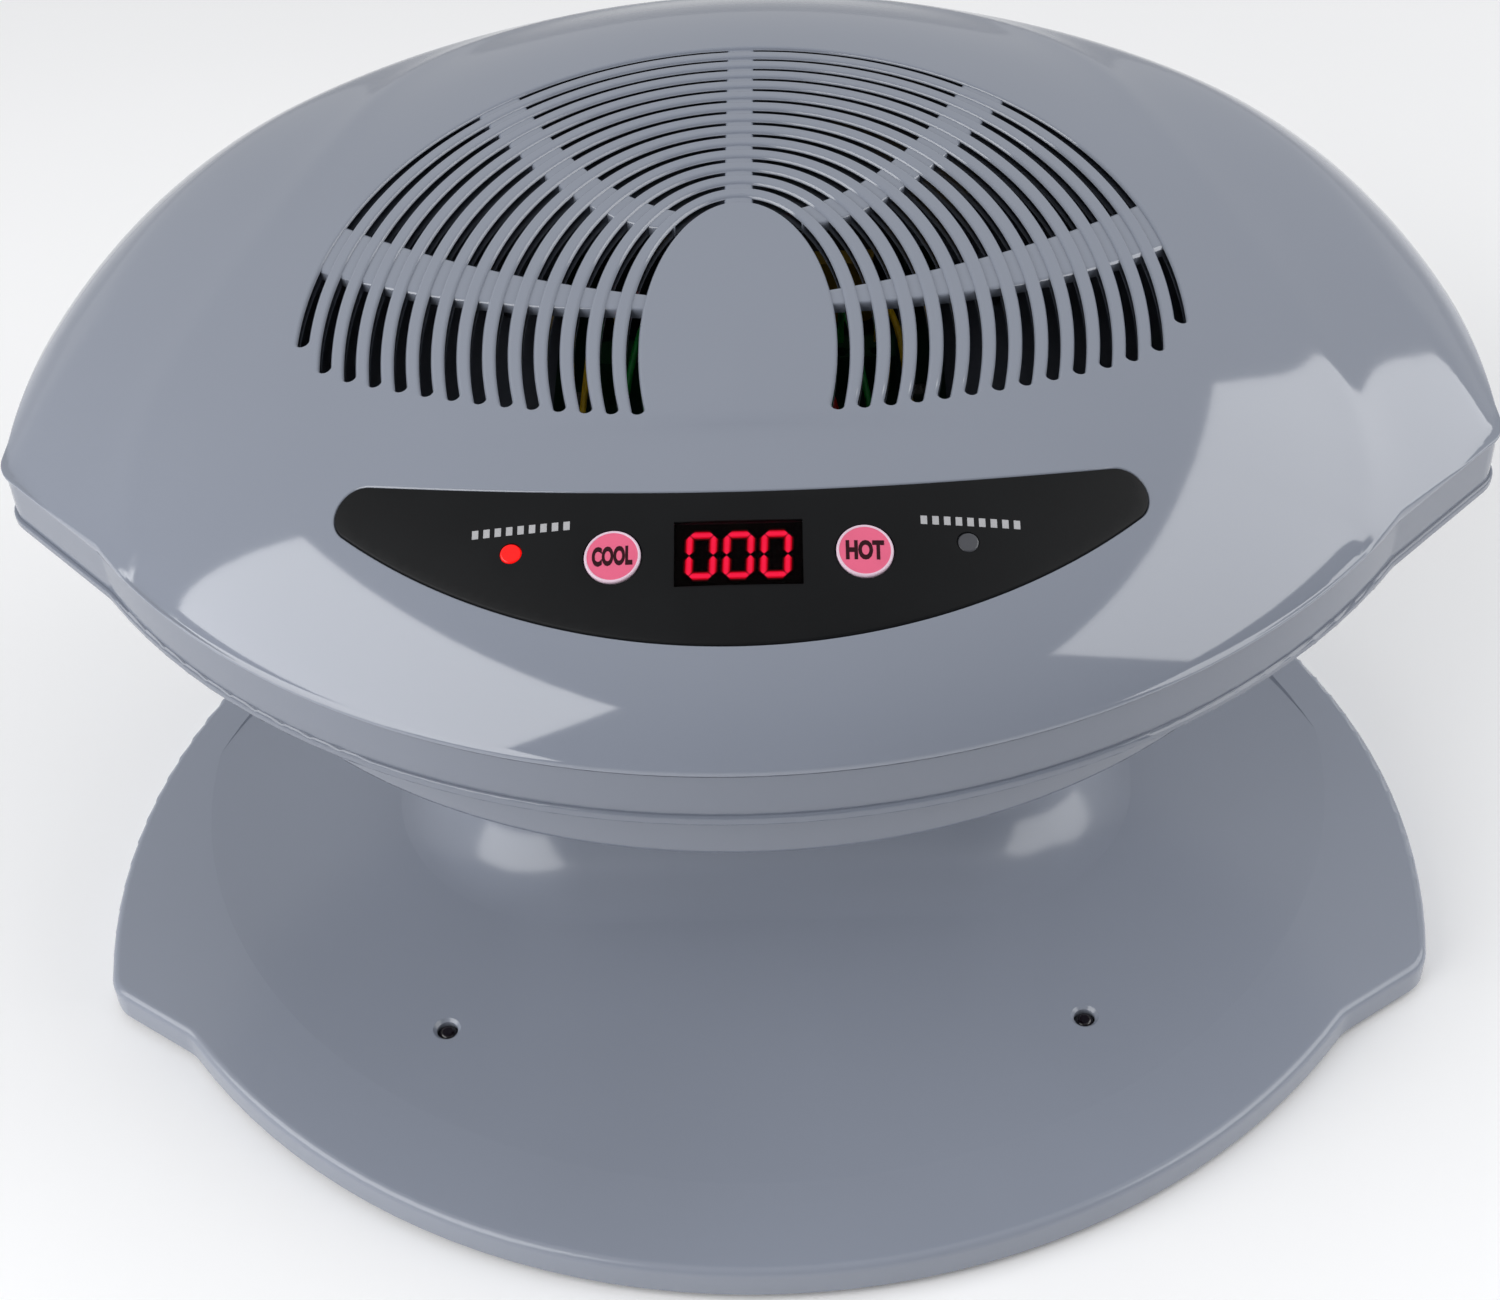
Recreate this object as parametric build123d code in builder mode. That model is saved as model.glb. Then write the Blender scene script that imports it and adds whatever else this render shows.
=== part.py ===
from build123d import *
import os
from math import cos, exp, hypot, log, pi, radians, sin, sqrt, tan

# Two-hand fan dryer for nails: a lens-shaped hood on a rear column over a dished base.
# Millimetres. +X is the right hand, -Y the front, +Z up, z = 0 the table.

os.makedirs("parts", exist_ok=True)

# ---------------------------------------------------------------- driving dimensions
WALL = 2.6                 # moulded ABS wall
GAP = 0.2                  # assembly clearance between pieces that don't move

# Each plan outline is a front arc and a rear arc joined at the sides by a short straight wing.
HOOD = dict(front_r=201.0, front_y=59.0, rear_r=195.5, rear_y=-21.5, notch_x=163.0, wing=45.0)
BASE = dict(front_r=203.5, front_y=29.5, rear_r=193.0, rear_y=-34.0, notch_x=163.0, wing=34.0)
TIP_R = 12.0               # rounding of the wing tips
NOTCH_R = 14.0             # rounding where the wing meets the front arc

# heights
PLATE_LOW, PLATE_HIGH = 1.4, 3.6
RIM_LOW, RIM_HIGH = 2.4, 12.0
DISH_Z = 10.6
COLUMN_TOP = 131.8
PAN_Z = 132.0
BAND_LOW, BAND_HIGH = 147.0, 162.3
SEAM_Z = 163.0
SKY_Z = 240.0              # above everything, for cutting prisms

# crown of the hood: an inner dome and a flatter wing body behind it, the higher of the two showing
CROWN_Z = 153.2            # level that both bodies rise from
DOME_RISE, DOME_FRONT_R, DOME_FRONT_POWER = 65.8, 203.4, 0.457
DOME_A, DOME_B, DOME_Y, DOME_EXPONENT, DOME_POWER = 188.7, 174.8, -12.0, 5.34, 0.327
WING_RISE, WING_SLOPE_LENGTH, WING_MARGIN, WING_POWER = 55.4, 148.0, 8.0, 0.6
WING_A, WING_B, WING_Y, WING_EXPONENT, WING_SIDE_POWER = 202.1, 199.2, -24.2, 6.42, 0.422
WING_START_Y, WING_FADE = -104.0, 40.0
CREASE_SOFTNESS = 0.8      # how gently the two bodies run into each other
TIP_RISE = 11.2            # least rise, reached only at the wing tips

# intake grille in the crown: nested horseshoe slots, from the outermost to the one round the tongue
SLOTS = 14
SLOT_WIDTH = 3.0
SLOT_OUTER = dict(a=109.5, b=110.2, y=-24.5)
SLOT_INNER = dict(a=25.6, b=53.4, y=-42.0)
GRILLE_LOW_R, GRILLE_LOW_Y = 206.0, 141.0      # arc that ends the slots towards the panel
GRILLE_CORNER_R = 26.0
SPOKE_DEPTH, SPOKE_THICK = 0.7, 2.8
CENTRE_SPOKE_WIDTH = 7.2
# the two edges of each other spoke, bending slightly, through three points from the tongue outwards
SIDE_SPOKE = (((22.8, -23.5), (65.2, -7.7), (102.0, 16.9)), ((24.0, -28.7), (68.6, -19.4), (105.9, -0.2)))
REAR_SPOKE = (((19.0, 9.5), (41.5, 30.8), (60.9, 69.6)), ((18.8, 1.4), (43.9, 18.6), (72.6, 64.0)))

# control panel
PANEL_Y = -101.2
PANEL_LOW_R, PANEL_LOW_Y = 140.4, 19.0
PANEL_HIGH_R, PANEL_HIGH_Y = 330.0, 244.0
PANEL_NOSE_R = 6.5
FILM_DEPTH, FILM_PROUD = 0.6, 0.15
BUTTON_X, BUTTON_R, BUTTON_PROUD = 29.0, 6.6, 0.7
BUTTON_HOLE_R = 6.95
LED_X, LED_R = 52.8, 2.5
LED_HOLE_R = 2.65
WINDOW_W, WINDOW_H = 29.4, 16.4
PANEL_BOARD_DEPTH, BOARD_THICK = 11.0, 1.6
PANEL_BOARD_W, PANEL_BOARD_H = 128.0, 26.0

# fans, heaters and outlets
FAN_X, FAN_Y = 54.0, -62.0
FAN_SIZE, FAN_HEIGHT, FAN_BORE_R, FAN_HOLE_PITCH = 80.0, 25.0, 38.0, 71.5
FAN_LOW = 148.0
ROTOR_R, HUB_R, HUB_HEIGHT, BLADES = 36.8, 16.0, 17.0, 7
SHAFT_R, SHAFT_CLEARANCE = 1.5, 0.05
OUTLET_R = 37.0

DUCT_R = 40.5
GRILLE_BAR, GRILLE_RINGS = 2.0, (31.0, 24.5, 18.0, 11.5, 5.0)     # from the rim inwards
GRILLE_RECESS = 0.3
COIL_RADII = (13.0, 21.0, 29.0)
COIL_R = 1.6

# the pan is the lowest part of the hood, an ellipse
PAN_A, PAN_B, PAN_Y, PAN_DRAFT = 160.0, 152.0, 13.0, 1.5
BAND_INSET = 0.8
BEAD_INSET, BEAD_HEIGHT, BEAD_ROUND = -0.1, 2.8, 0.8      # rounded bead along the band's lower edge
LIP_DEPTH, LIP_RISE, LIP_WALL = 6.0, 1.4, 1.6             # lip of the band that centres the cover
HOOD_SCREWS = ((172.0, -20.0), (105.0, 130.0), (118.0, -92.0))     # and their mirror images
COLUMN_SCREWS = ((70.0, -8.0), (70.0, 82.0))
BASE_SCREWS = ((166.0, -48.0), (104.0, -122.0), (128.0, 88.0))
FEET = ((120.0, -95.0), (115.0, 100.0))

# power board in the pan, behind the fans
BOARD_W, BOARD_D, BOARD_Y, BOARD_Z = 110.0, 80.0, 58.0, 141.0

# column
COLUMN_HALF, COLUMN_FRONT, COLUMN_REAR, COLUMN_CORNER = 87.0, -27.0, 96.0, 32.0
COLUMN_WALL, COLUMN_FLARE = 3.0, 26.0
WIRE_HOLE_R, WIRE_HOLE_Y = 12.0, -5.0
SENSOR_X, SENSOR_Y, SENSOR_HOLE_R = 90.0, -91.0, 3.0
# the dish's edge and its level floor: half width, half depth and middle of an ellipse, and the arc behind
DISH_EDGE = dict(a=172.0, b=159.5, y=13.5, rear_r=180.0)
DISH_FLOOR = dict(a=136.0, b=132.5, y=32.5, rear_r=175.0)
DISH_SHARES = (1.0, 0.66, 0.33, 0.0)           # stations from the floor to the edge
INLET_Z, INLET_W, INLET_H = 46.0, 22.0, 12.0


# ---------------------------------------------------------------- shapes given by a formula
def eased_power(value, power, start=0.02):
    """value ** power, carried on in a straight line below start so that it stays smooth."""
    if value >= start:
        return value**power
    edge = start**power
    return max(edge + power * edge / start * (value - start), -0.12)


def smooth_step(value):
    value = min(max(value, 0.0), 1.0)
    return value * value * (3 - 2 * value)


def crown_height(x, y):
    """Height of the hood's outer skin above the table at a point of the plan."""
    front = hypot(x, y - HOOD["front_y"]) / DOME_FRONT_R
    side = hypot(x / DOME_A, (y - DOME_Y) / DOME_B)
    dome = DOME_RISE * eased_power(1 - front**2, DOME_FRONT_POWER)
    dome *= eased_power(1 - side**DOME_EXPONENT, DOME_POWER)
    wing_line = (222.0 - abs(x) + y) / sqrt(2) + WING_MARGIN
    slope = max(1 - wing_line / WING_SLOPE_LENGTH, 0.0)
    rear = hypot(x / WING_A, (y - WING_Y) / WING_B)
    wing = WING_RISE * eased_power(1 - slope**2, WING_POWER)
    wing *= eased_power(1 - rear**WING_EXPONENT, WING_SIDE_POWER)
    wing *= smooth_step((y - WING_START_Y) / WING_FADE)
    higher = max(dome, wing)
    lower = min(dome, wing)
    rise = higher + CREASE_SOFTNESS * log(1 + exp((lower - higher) / CREASE_SOFTNESS))
    return CROWN_Z + max(rise, TIP_RISE)


def crown_normal(x, y, step=0.5):
    rise_x = (crown_height(x + step, y) - crown_height(x - step, y)) / (2 * step)
    rise_y = (crown_height(x, y + step) - crown_height(x, y - step)) / (2 * step)
    return Vector(-rise_x, -rise_y, 1).normalized()


def crossing(radius, centre_y, start, direction, nearest):
    """Where the line from start meets the circle about (0, centre_y).

    nearest 0 gives the crossing closest to start, and 1 the one further along direction."""
    px, py = start[0], start[1] - centre_y
    along = px * direction[0] + py * direction[1]
    reach = sqrt(along**2 - (px**2 + py**2 - radius**2))
    travels = sorted((-along - reach, -along + reach), key=abs if nearest == 0 else None)
    travel = travels[nearest]
    return (start[0] + travel * direction[0], start[1] + travel * direction[1])


def lens_plan(shape, inset=0.0):
    """The plan outline of the hood or the base, moved inwards by inset, as a flat sketch."""
    angle = radians(shape["wing"])
    along = (cos(angle), sin(angle))
    notch_y = shape["front_y"] - sqrt(shape["front_r"] ** 2 - shape["notch_x"] ** 2)
    start = (shape["notch_x"] - inset * along[1], notch_y + inset * along[0])
    tip = crossing(shape["rear_r"] - inset, shape["rear_y"], start, along, 1)
    notch = crossing(shape["front_r"] - inset, shape["front_y"], start, along, 0)
    front = (0, shape["front_y"] - shape["front_r"] + inset)
    rear = (0, shape["rear_y"] + shape["rear_r"] - inset)
    with BuildSketch(mode=Mode.PRIVATE) as plan:
        with BuildLine():
            ThreePointArc((-notch[0], notch[1]), front, notch)
            Line(notch, tip)
            ThreePointArc(tip, rear, (-tip[0], tip[1]))
            Line((-tip[0], tip[1]), (-notch[0], notch[1]))
        make_face()
        tips = plan.vertices().filter_by(lambda v: abs(abs(v.X) - tip[0]) < 0.1)
        fillet(tips, TIP_R - inset)
        notches = plan.vertices().filter_by(lambda v: abs(abs(v.X) - notch[0]) < 0.1)
        fillet(notches, NOTCH_R + inset)
    return plan.sketch


def both_sides(points):
    """The points and their mirror images in the plane x = 0."""
    return [(side * x, y) for x, y in points for side in (1, -1)]


def save(part, label):
    part.label = label
    export_step(part, f"parts/{label}.step")


# ---------------------------------------------------------------- the crown surface
def spread(count, reach, middle=0.0):
    """Grid stations that crowd towards both ends, where the crown is steep."""
    return [middle + reach * sin(pi / 2 * (2 * i / (count - 1) - 1)) for i in range(count)]


hood_front = HOOD["front_y"] - HOOD["front_r"]
hood_rear = HOOD["rear_y"] + HOOD["rear_r"]
crown_columns = spread(27, HOOD["rear_r"] + 10)
crown_rows = spread(25, (hood_rear - hood_front) / 2 + 8, (hood_rear + hood_front) / 2)
crown_points = [[Vector(x, y, crown_height(x, y)) for y in crown_rows] for x in crown_columns]
crown_face = Face.make_surface_from_array_of_points(crown_points, tol=0.1)
CROWN_BLOCK = 90.0
with BuildPart() as crown_block:
    extrude(crown_face, amount=CROWN_BLOCK, dir=(0, 0, -1))


def under_crown(drop):
    """Everything under the outer skin lowered by drop."""
    return Pos(0, 0, -drop) * crown_block.part


hood_plan = lens_plan(HOOD)
under_skin = under_crown(0)
under_wall = under_crown(WALL)
under_film = under_crown(FILM_DEPTH)
under_boss = under_crown(WALL / 2)
film_top = under_crown(-FILM_PROUD)
button_top = under_crown(-BUTTON_PROUD)
spoke_top = under_crown(SPOKE_DEPTH)
spoke_low = under_crown(SPOKE_DEPTH + SPOKE_THICK)

# the control panel's own plane: x to the right, y up the slope, z out of the skin
panel_origin = Vector(0, PANEL_Y, crown_height(0, PANEL_Y))
panel_plane = Plane(origin=panel_origin, x_dir=(1, 0, 0), z_dir=crown_normal(0, PANEL_Y))
board_plane = panel_plane.offset(-PANEL_BOARD_DEPTH)
LED_UP = 2.8
BOARD_SCREWS = [(x, y) for x in (-59.0, 59.0) for y in (-9.0, 9.0)]

# ---------------------------------------------------------------- grille and panel plans
with BuildSketch() as grille_field:
    with Locations((0, SLOT_OUTER["y"])):
        Ellipse(SLOT_OUTER["a"] + SLOT_WIDTH / 2, SLOT_OUTER["b"] + SLOT_WIDTH / 2)
    with Locations((0, GRILLE_LOW_Y)):
        Circle(GRILLE_LOW_R, mode=Mode.INTERSECT)
    fillet(grille_field.vertices().filter_by(lambda v: v.Y < SLOT_OUTER["y"]), GRILLE_CORNER_R)


def slot_ring(share):
    """One horseshoe slot; share runs from 0 at the outermost to 1 round the tongue."""
    a, b, y = (SLOT_OUTER[key] + (SLOT_INNER[key] - SLOT_OUTER[key]) * share for key in "aby")
    with BuildSketch(mode=Mode.PRIVATE) as ring:
        with Locations((0, y)):
            Ellipse(a + SLOT_WIDTH / 2, b + SLOT_WIDTH / 2)
            Ellipse(a - SLOT_WIDTH / 2, b - SLOT_WIDTH / 2, mode=Mode.SUBTRACT)
        add(grille_field.sketch, mode=Mode.INTERSECT)
    return ring.sketch


slot_rings = [slot_ring(i / (SLOTS - 1)) for i in range(SLOTS)]
with BuildSketch(Plane.XY.offset(SEAM_Z)) as slot_plan:
    for ring in slot_rings:
        add(ring)



def along_edge(edge, share):
    """Point on the parabola that passes an edge's three points at 0, one half and 1."""
    weights = ((1 - share) * (1 - 2 * share), 4 * share * (1 - share), share * (2 * share - 1))
    return tuple(sum(w * point[k] for w, point in zip(weights, edge)) for k in (0, 1))


SPOKE_OVERRUN = 0.12       # share of its length by which a spoke runs under the skin at each end


def spoke_face(edges, side):
    shares = (-SPOKE_OVERRUN, 0.5, 1 + SPOKE_OVERRUN)
    rear, front = ([(side * x, y) for x, y in (along_edge(edge, s) for s in shares)] for edge in edges)
    with BuildSketch(mode=Mode.PRIVATE) as face:
        with BuildLine():
            ThreePointArc(*rear)
            Line(rear[2], front[2])
            ThreePointArc(*front[::-1])
            Line(front[0], rear[0])
        make_face()
    return face.sketch


CENTRE_SPOKE_LOW, CENTRE_SPOKE_HIGH = 0.0, 90.0
with BuildSketch(Plane.XY.offset(SEAM_Z)) as spoke_plan:
    with Locations((0, (CENTRE_SPOKE_LOW + CENTRE_SPOKE_HIGH) / 2)):
        Rectangle(CENTRE_SPOKE_WIDTH, CENTRE_SPOKE_HIGH - CENTRE_SPOKE_LOW)
    for edges in (SIDE_SPOKE, REAR_SPOKE):
        for side in (1, -1):
            add(spoke_face(edges, side))
    add(grille_field.sketch, mode=Mode.INTERSECT)


def panel_plan(inset):
    """Crescent of the control panel between two arcs, with rounded ends."""
    with BuildSketch(mode=Mode.PRIVATE) as plan:
        with Locations((0, PANEL_LOW_Y)):
            Circle(PANEL_LOW_R - inset)
        with Locations((0, PANEL_HIGH_Y)):
            Circle(PANEL_HIGH_R + inset, mode=Mode.SUBTRACT)
        fillet(plan.vertices().filter_by(lambda v: v.Y < 0), PANEL_NOSE_R - inset)
    return plan.sketch


pocket_plan = panel_plan(0.0)
film_plan = panel_plan(0.15)

# ---------------------------------------------------------------- top cover
with BuildPart() as cover_cavity:
    with BuildSketch(Plane.XY.offset(SEAM_Z - 1)):
        add(lens_plan(HOOD, WALL))
    extrude(amount=SKY_Z - SEAM_Z)
    add(under_wall, mode=Mode.INTERSECT)

with BuildPart() as spokes:
    extrude(spoke_plan.sketch, amount=SKY_Z - SEAM_Z)
    add(spoke_top, mode=Mode.INTERSECT)
    add(spoke_low, mode=Mode.SUBTRACT)

PILLAR_Z, PILLAR_R, PILLAR_PILOT_R, PILLAR_PILOT = 151.0, 4.2, 1.45, 12.0
with BuildPart() as cover_pillars:
    with BuildSketch(Plane.XY.offset(PILLAR_Z)):
        with Locations(*both_sides(HOOD_SCREWS)):
            Circle(PILLAR_R)
            Circle(PILLAR_PILOT_R, mode=Mode.SUBTRACT)
    extrude(amount=PILLAR_PILOT)
    with BuildSketch(Plane.XY.offset(PILLAR_Z + PILLAR_PILOT)):
        with Locations(*both_sides(HOOD_SCREWS)):
            Circle(PILLAR_R)
    extrude(amount=SKY_Z - PILLAR_Z)
    add(under_boss, mode=Mode.INTERSECT)

BOSS_R, BOARD_SCREW_R = 3.2, 1.2
with BuildPart() as board_bosses:
    with BuildSketch(board_plane):
        with Locations(*BOARD_SCREWS):
            Circle(BOSS_R)
    extrude(amount=PANEL_BOARD_DEPTH)
    add(under_boss, mode=Mode.INTERSECT)
    with BuildSketch(board_plane):
        with Locations(*BOARD_SCREWS):
            Circle(BOARD_SCREW_R)
    extrude(amount=3.5, mode=Mode.SUBTRACT)

with BuildPart() as pocket:
    with BuildSketch(Plane.XY.offset(SEAM_Z)):
        add(pocket_plan)
    extrude(amount=SKY_Z - SEAM_Z)
    add(under_film, mode=Mode.SUBTRACT)


def panel_openings(window_w, window_h):
    """Prisms through the skin for the buttons, the LEDs and the display window."""
    with BuildPart(mode=Mode.PRIVATE) as openings:
        with BuildSketch(panel_plane.offset(-8)):
            with Locations((BUTTON_X, 0), (-BUTTON_X, 0)):
                Circle(BUTTON_HOLE_R)
            with Locations((LED_X, LED_UP), (-LED_X, LED_UP)):
                Circle(LED_HOLE_R)
            Rectangle(window_w, window_h)
        extrude(amount=16)
    return openings.part


cover_openings = panel_openings(WINDOW_W + 0.8, WINDOW_H + 0.8)
film_openings = panel_openings(WINDOW_W + 0.2, WINDOW_H + 0.2)

with BuildPart() as top_cover:
    with BuildSketch(Plane.XY.offset(SEAM_Z)):
        add(hood_plan)
    extrude(amount=SKY_Z - SEAM_Z)
    add(under_skin, mode=Mode.INTERSECT)
    add(cover_cavity.part, mode=Mode.SUBTRACT)
    extrude(slot_plan.sketch, amount=SKY_Z - SEAM_Z, mode=Mode.SUBTRACT)
    add(spokes.part)
    add(pocket.part, mode=Mode.SUBTRACT)
    add(cover_pillars.part)
    add(board_bosses.part)
    add(cover_openings, mode=Mode.SUBTRACT)
save(top_cover.part, "top_cover")

# ---------------------------------------------------------------- control panel
with BuildPart() as control_overlay:
    with BuildSketch(Plane.XY.offset(SEAM_Z)):
        add(film_plan)
    extrude(amount=SKY_Z - SEAM_Z)
    add(film_top, mode=Mode.INTERSECT)
    add(under_film, mode=Mode.SUBTRACT)
    add(film_openings, mode=Mode.SUBTRACT)
save(control_overlay.part, "control_overlay")

with BuildPart() as display_window:
    with BuildSketch(panel_plane.offset(-8)):
        Rectangle(WINDOW_W, WINDOW_H)
    extrude(amount=16)
    add(film_top, mode=Mode.INTERSECT)
    add(under_film, mode=Mode.SUBTRACT)
save(display_window.part, "display_window")

DISPLAY_DEPTH, DISPLAY_THICK = 1.6, 7.0
with BuildPart() as display_module:
    with BuildSketch(panel_plane.offset(-DISPLAY_DEPTH)):
        Rectangle(WINDOW_W + 0.4, WINDOW_H + 0.4)
    extrude(amount=-DISPLAY_THICK)
    with BuildSketch(panel_plane.offset(-DISPLAY_DEPTH - DISPLAY_THICK)):
        with GridLocations(2.54, 12.7, 6, 2):
            Circle(0.3)
    extrude(amount=-(PANEL_BOARD_DEPTH - DISPLAY_DEPTH - DISPLAY_THICK))
save(display_module.part, "display_module")

with BuildPart() as control_board:
    with BuildSketch(board_plane):
        Rectangle(PANEL_BOARD_W, PANEL_BOARD_H)
        with Locations(*BOARD_SCREWS):
            Circle(BOARD_SCREW_R + 0.3, mode=Mode.SUBTRACT)
    extrude(amount=-BOARD_THICK)
save(control_board.part, "control_board")

with BuildPart() as control_board_screws:
    with BuildSketch(board_plane.offset(-BOARD_THICK)):
        with Locations(*BOARD_SCREWS):
            Circle(2.5)
    extrude(amount=-1.8)
    with BuildSketch(board_plane.offset(-BOARD_THICK)):
        with Locations(*BOARD_SCREWS):
            Circle(BOARD_SCREW_R)
    extrude(amount=BOARD_THICK + 3.0)
save(control_board_screws.part, "control_board_screws")

CAP_LOW, FLANGE_LOW, STEM_LOW, PLUNGER_LOW = 4.6, 5.8, 6.6, 9.0     # depths under the panel plane
SWITCH_TOP, SWITCH_BORE = 7.6, 9.8
PLUNGER_R = 1.7


def push_button(side):
    """Cap that stands a little proud of the film, with a flange that keeps it in the cover."""
    with BuildPart(mode=Mode.PRIVATE) as cap:
        with BuildSketch(panel_plane.offset(-CAP_LOW)):
            with Locations((side * BUTTON_X, 0)):
                Circle(BUTTON_R)
        extrude(amount=CAP_LOW + 3)
        add(button_top, mode=Mode.INTERSECT)
        with BuildSketch(panel_plane.offset(-FLANGE_LOW)):
            with Locations((side * BUTTON_X, 0)):
                Circle(BUTTON_R + 1.3)
        extrude(amount=FLANGE_LOW - CAP_LOW)
        with BuildSketch(panel_plane.offset(-STEM_LOW)):
            with Locations((side * BUTTON_X, 0)):
                Circle(2.4)
        extrude(amount=STEM_LOW - FLANGE_LOW)
    return cap.part


def switch_body(side):
    """Square tact switch soldered to the board, open above for its plunger."""
    with BuildPart(mode=Mode.PRIVATE) as body:
        with BuildSketch(board_plane):
            with Locations((side * BUTTON_X, 0)):
                Rectangle(6.2, 6.2)
        extrude(amount=PANEL_BOARD_DEPTH - SWITCH_TOP)
        with BuildSketch(panel_plane.offset(-SWITCH_BORE)):
            with Locations((side * BUTTON_X, 0)):
                Circle(PLUNGER_R + 0.1)
        extrude(amount=SWITCH_BORE - SWITCH_TOP, mode=Mode.SUBTRACT)
    return body.part


def switch_plunger(side):
    with BuildPart(mode=Mode.PRIVATE) as plunger:
        with BuildSketch(panel_plane.offset(-PLUNGER_LOW)):
            with Locations((side * BUTTON_X, 0)):
                Circle(PLUNGER_R)
        extrude(amount=PLUNGER_LOW - STEM_LOW)
    return plunger.part


LED_TOP, LED_ROUND, LED_BASE, LED_FLANGE = 3.4, 0.5, 10.4, 1.0


def indicator(side):
    """Flat-topped LED with its flange and two legs."""
    with BuildPart(mode=Mode.PRIVATE) as led:
        with BuildSketch(panel_plane.offset(-LED_BASE)):
            with Locations((side * LED_X, LED_UP)):
                Circle(LED_R)
        extrude(amount=LED_BASE - LED_TOP)
        fillet(led.edges().filter_by(GeomType.CIRCLE).sort_by(Axis.Z)[-1], LED_ROUND)
        with BuildSketch(panel_plane.offset(-LED_BASE)):
            with Locations((side * LED_X, LED_UP)):
                Circle(LED_R + 0.4)
        extrude(amount=LED_FLANGE)
        with BuildSketch(panel_plane.offset(-LED_BASE)):
            with Locations((side * LED_X - 1.27, LED_UP), (side * LED_X + 1.27, LED_UP)):
                Circle(0.3)
        extrude(amount=-(PANEL_BOARD_DEPTH - LED_BASE))
    return led.part


for name, side in (("cool", -1), ("hot", 1)):
    save(push_button(side), f"{name}_button")
    save(switch_body(side), f"{name}_switch")
    save(switch_plunger(side), f"{name}_switch_plunger")
    save(indicator(side), f"{name}_led")

# ---------------------------------------------------------------- lower housing of the hood
pan_floor = PAN_Z + WALL
band_floor = BAND_LOW + WALL


def pan_ellipse(z, grow):
    """Plan of the pan at a height, grown outwards, widening upwards with the draft."""
    widen = grow - PAN_DRAFT * (BAND_LOW - z) / (BAND_LOW - PAN_Z)
    with BuildSketch(Plane.XY.offset(z), mode=Mode.PRIVATE) as plan:
        with Locations((0, PAN_Y)):
            Ellipse(PAN_A + widen, PAN_B + widen)
    return plan.sketch


pan_outer = [pan_ellipse(PAN_Z, 0), pan_ellipse(BAND_LOW + 0.5, 0)]
pan_inner = [pan_ellipse(pan_floor, -WALL), pan_ellipse(band_floor + 0.5, -WALL)]
with BuildPart() as pan_cavity:
    loft(sections=pan_inner)

FAN_POSTS = [
    (side * FAN_X + dx * FAN_HOLE_PITCH / 2, FAN_Y + dy * FAN_HOLE_PITCH / 2)
    for side in (-1, 1)
    for dx in (-1, 1)
    for dy in (-1, 1)
]
BOARD_POSTS = [(x, BOARD_Y + y) for x in (-48.0, 48.0) for y in (-33.0, 33.0)]
BOSS_UP = 1.2
SCREW_SINK = 2.4
outlet_centres = both_sides([(FAN_X, FAN_Y)])

with BuildPart() as locating_lip:
    with BuildSketch(Plane.XY.offset(BAND_HIGH - LIP_DEPTH)):
        add(lens_plan(HOOD, WALL + GAP))
        add(lens_plan(HOOD, WALL + GAP + LIP_WALL), mode=Mode.SUBTRACT)
    extrude(amount=LIP_DEPTH + LIP_RISE)
    add(under_crown(WALL + 0.6), mode=Mode.INTERSECT)

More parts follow.
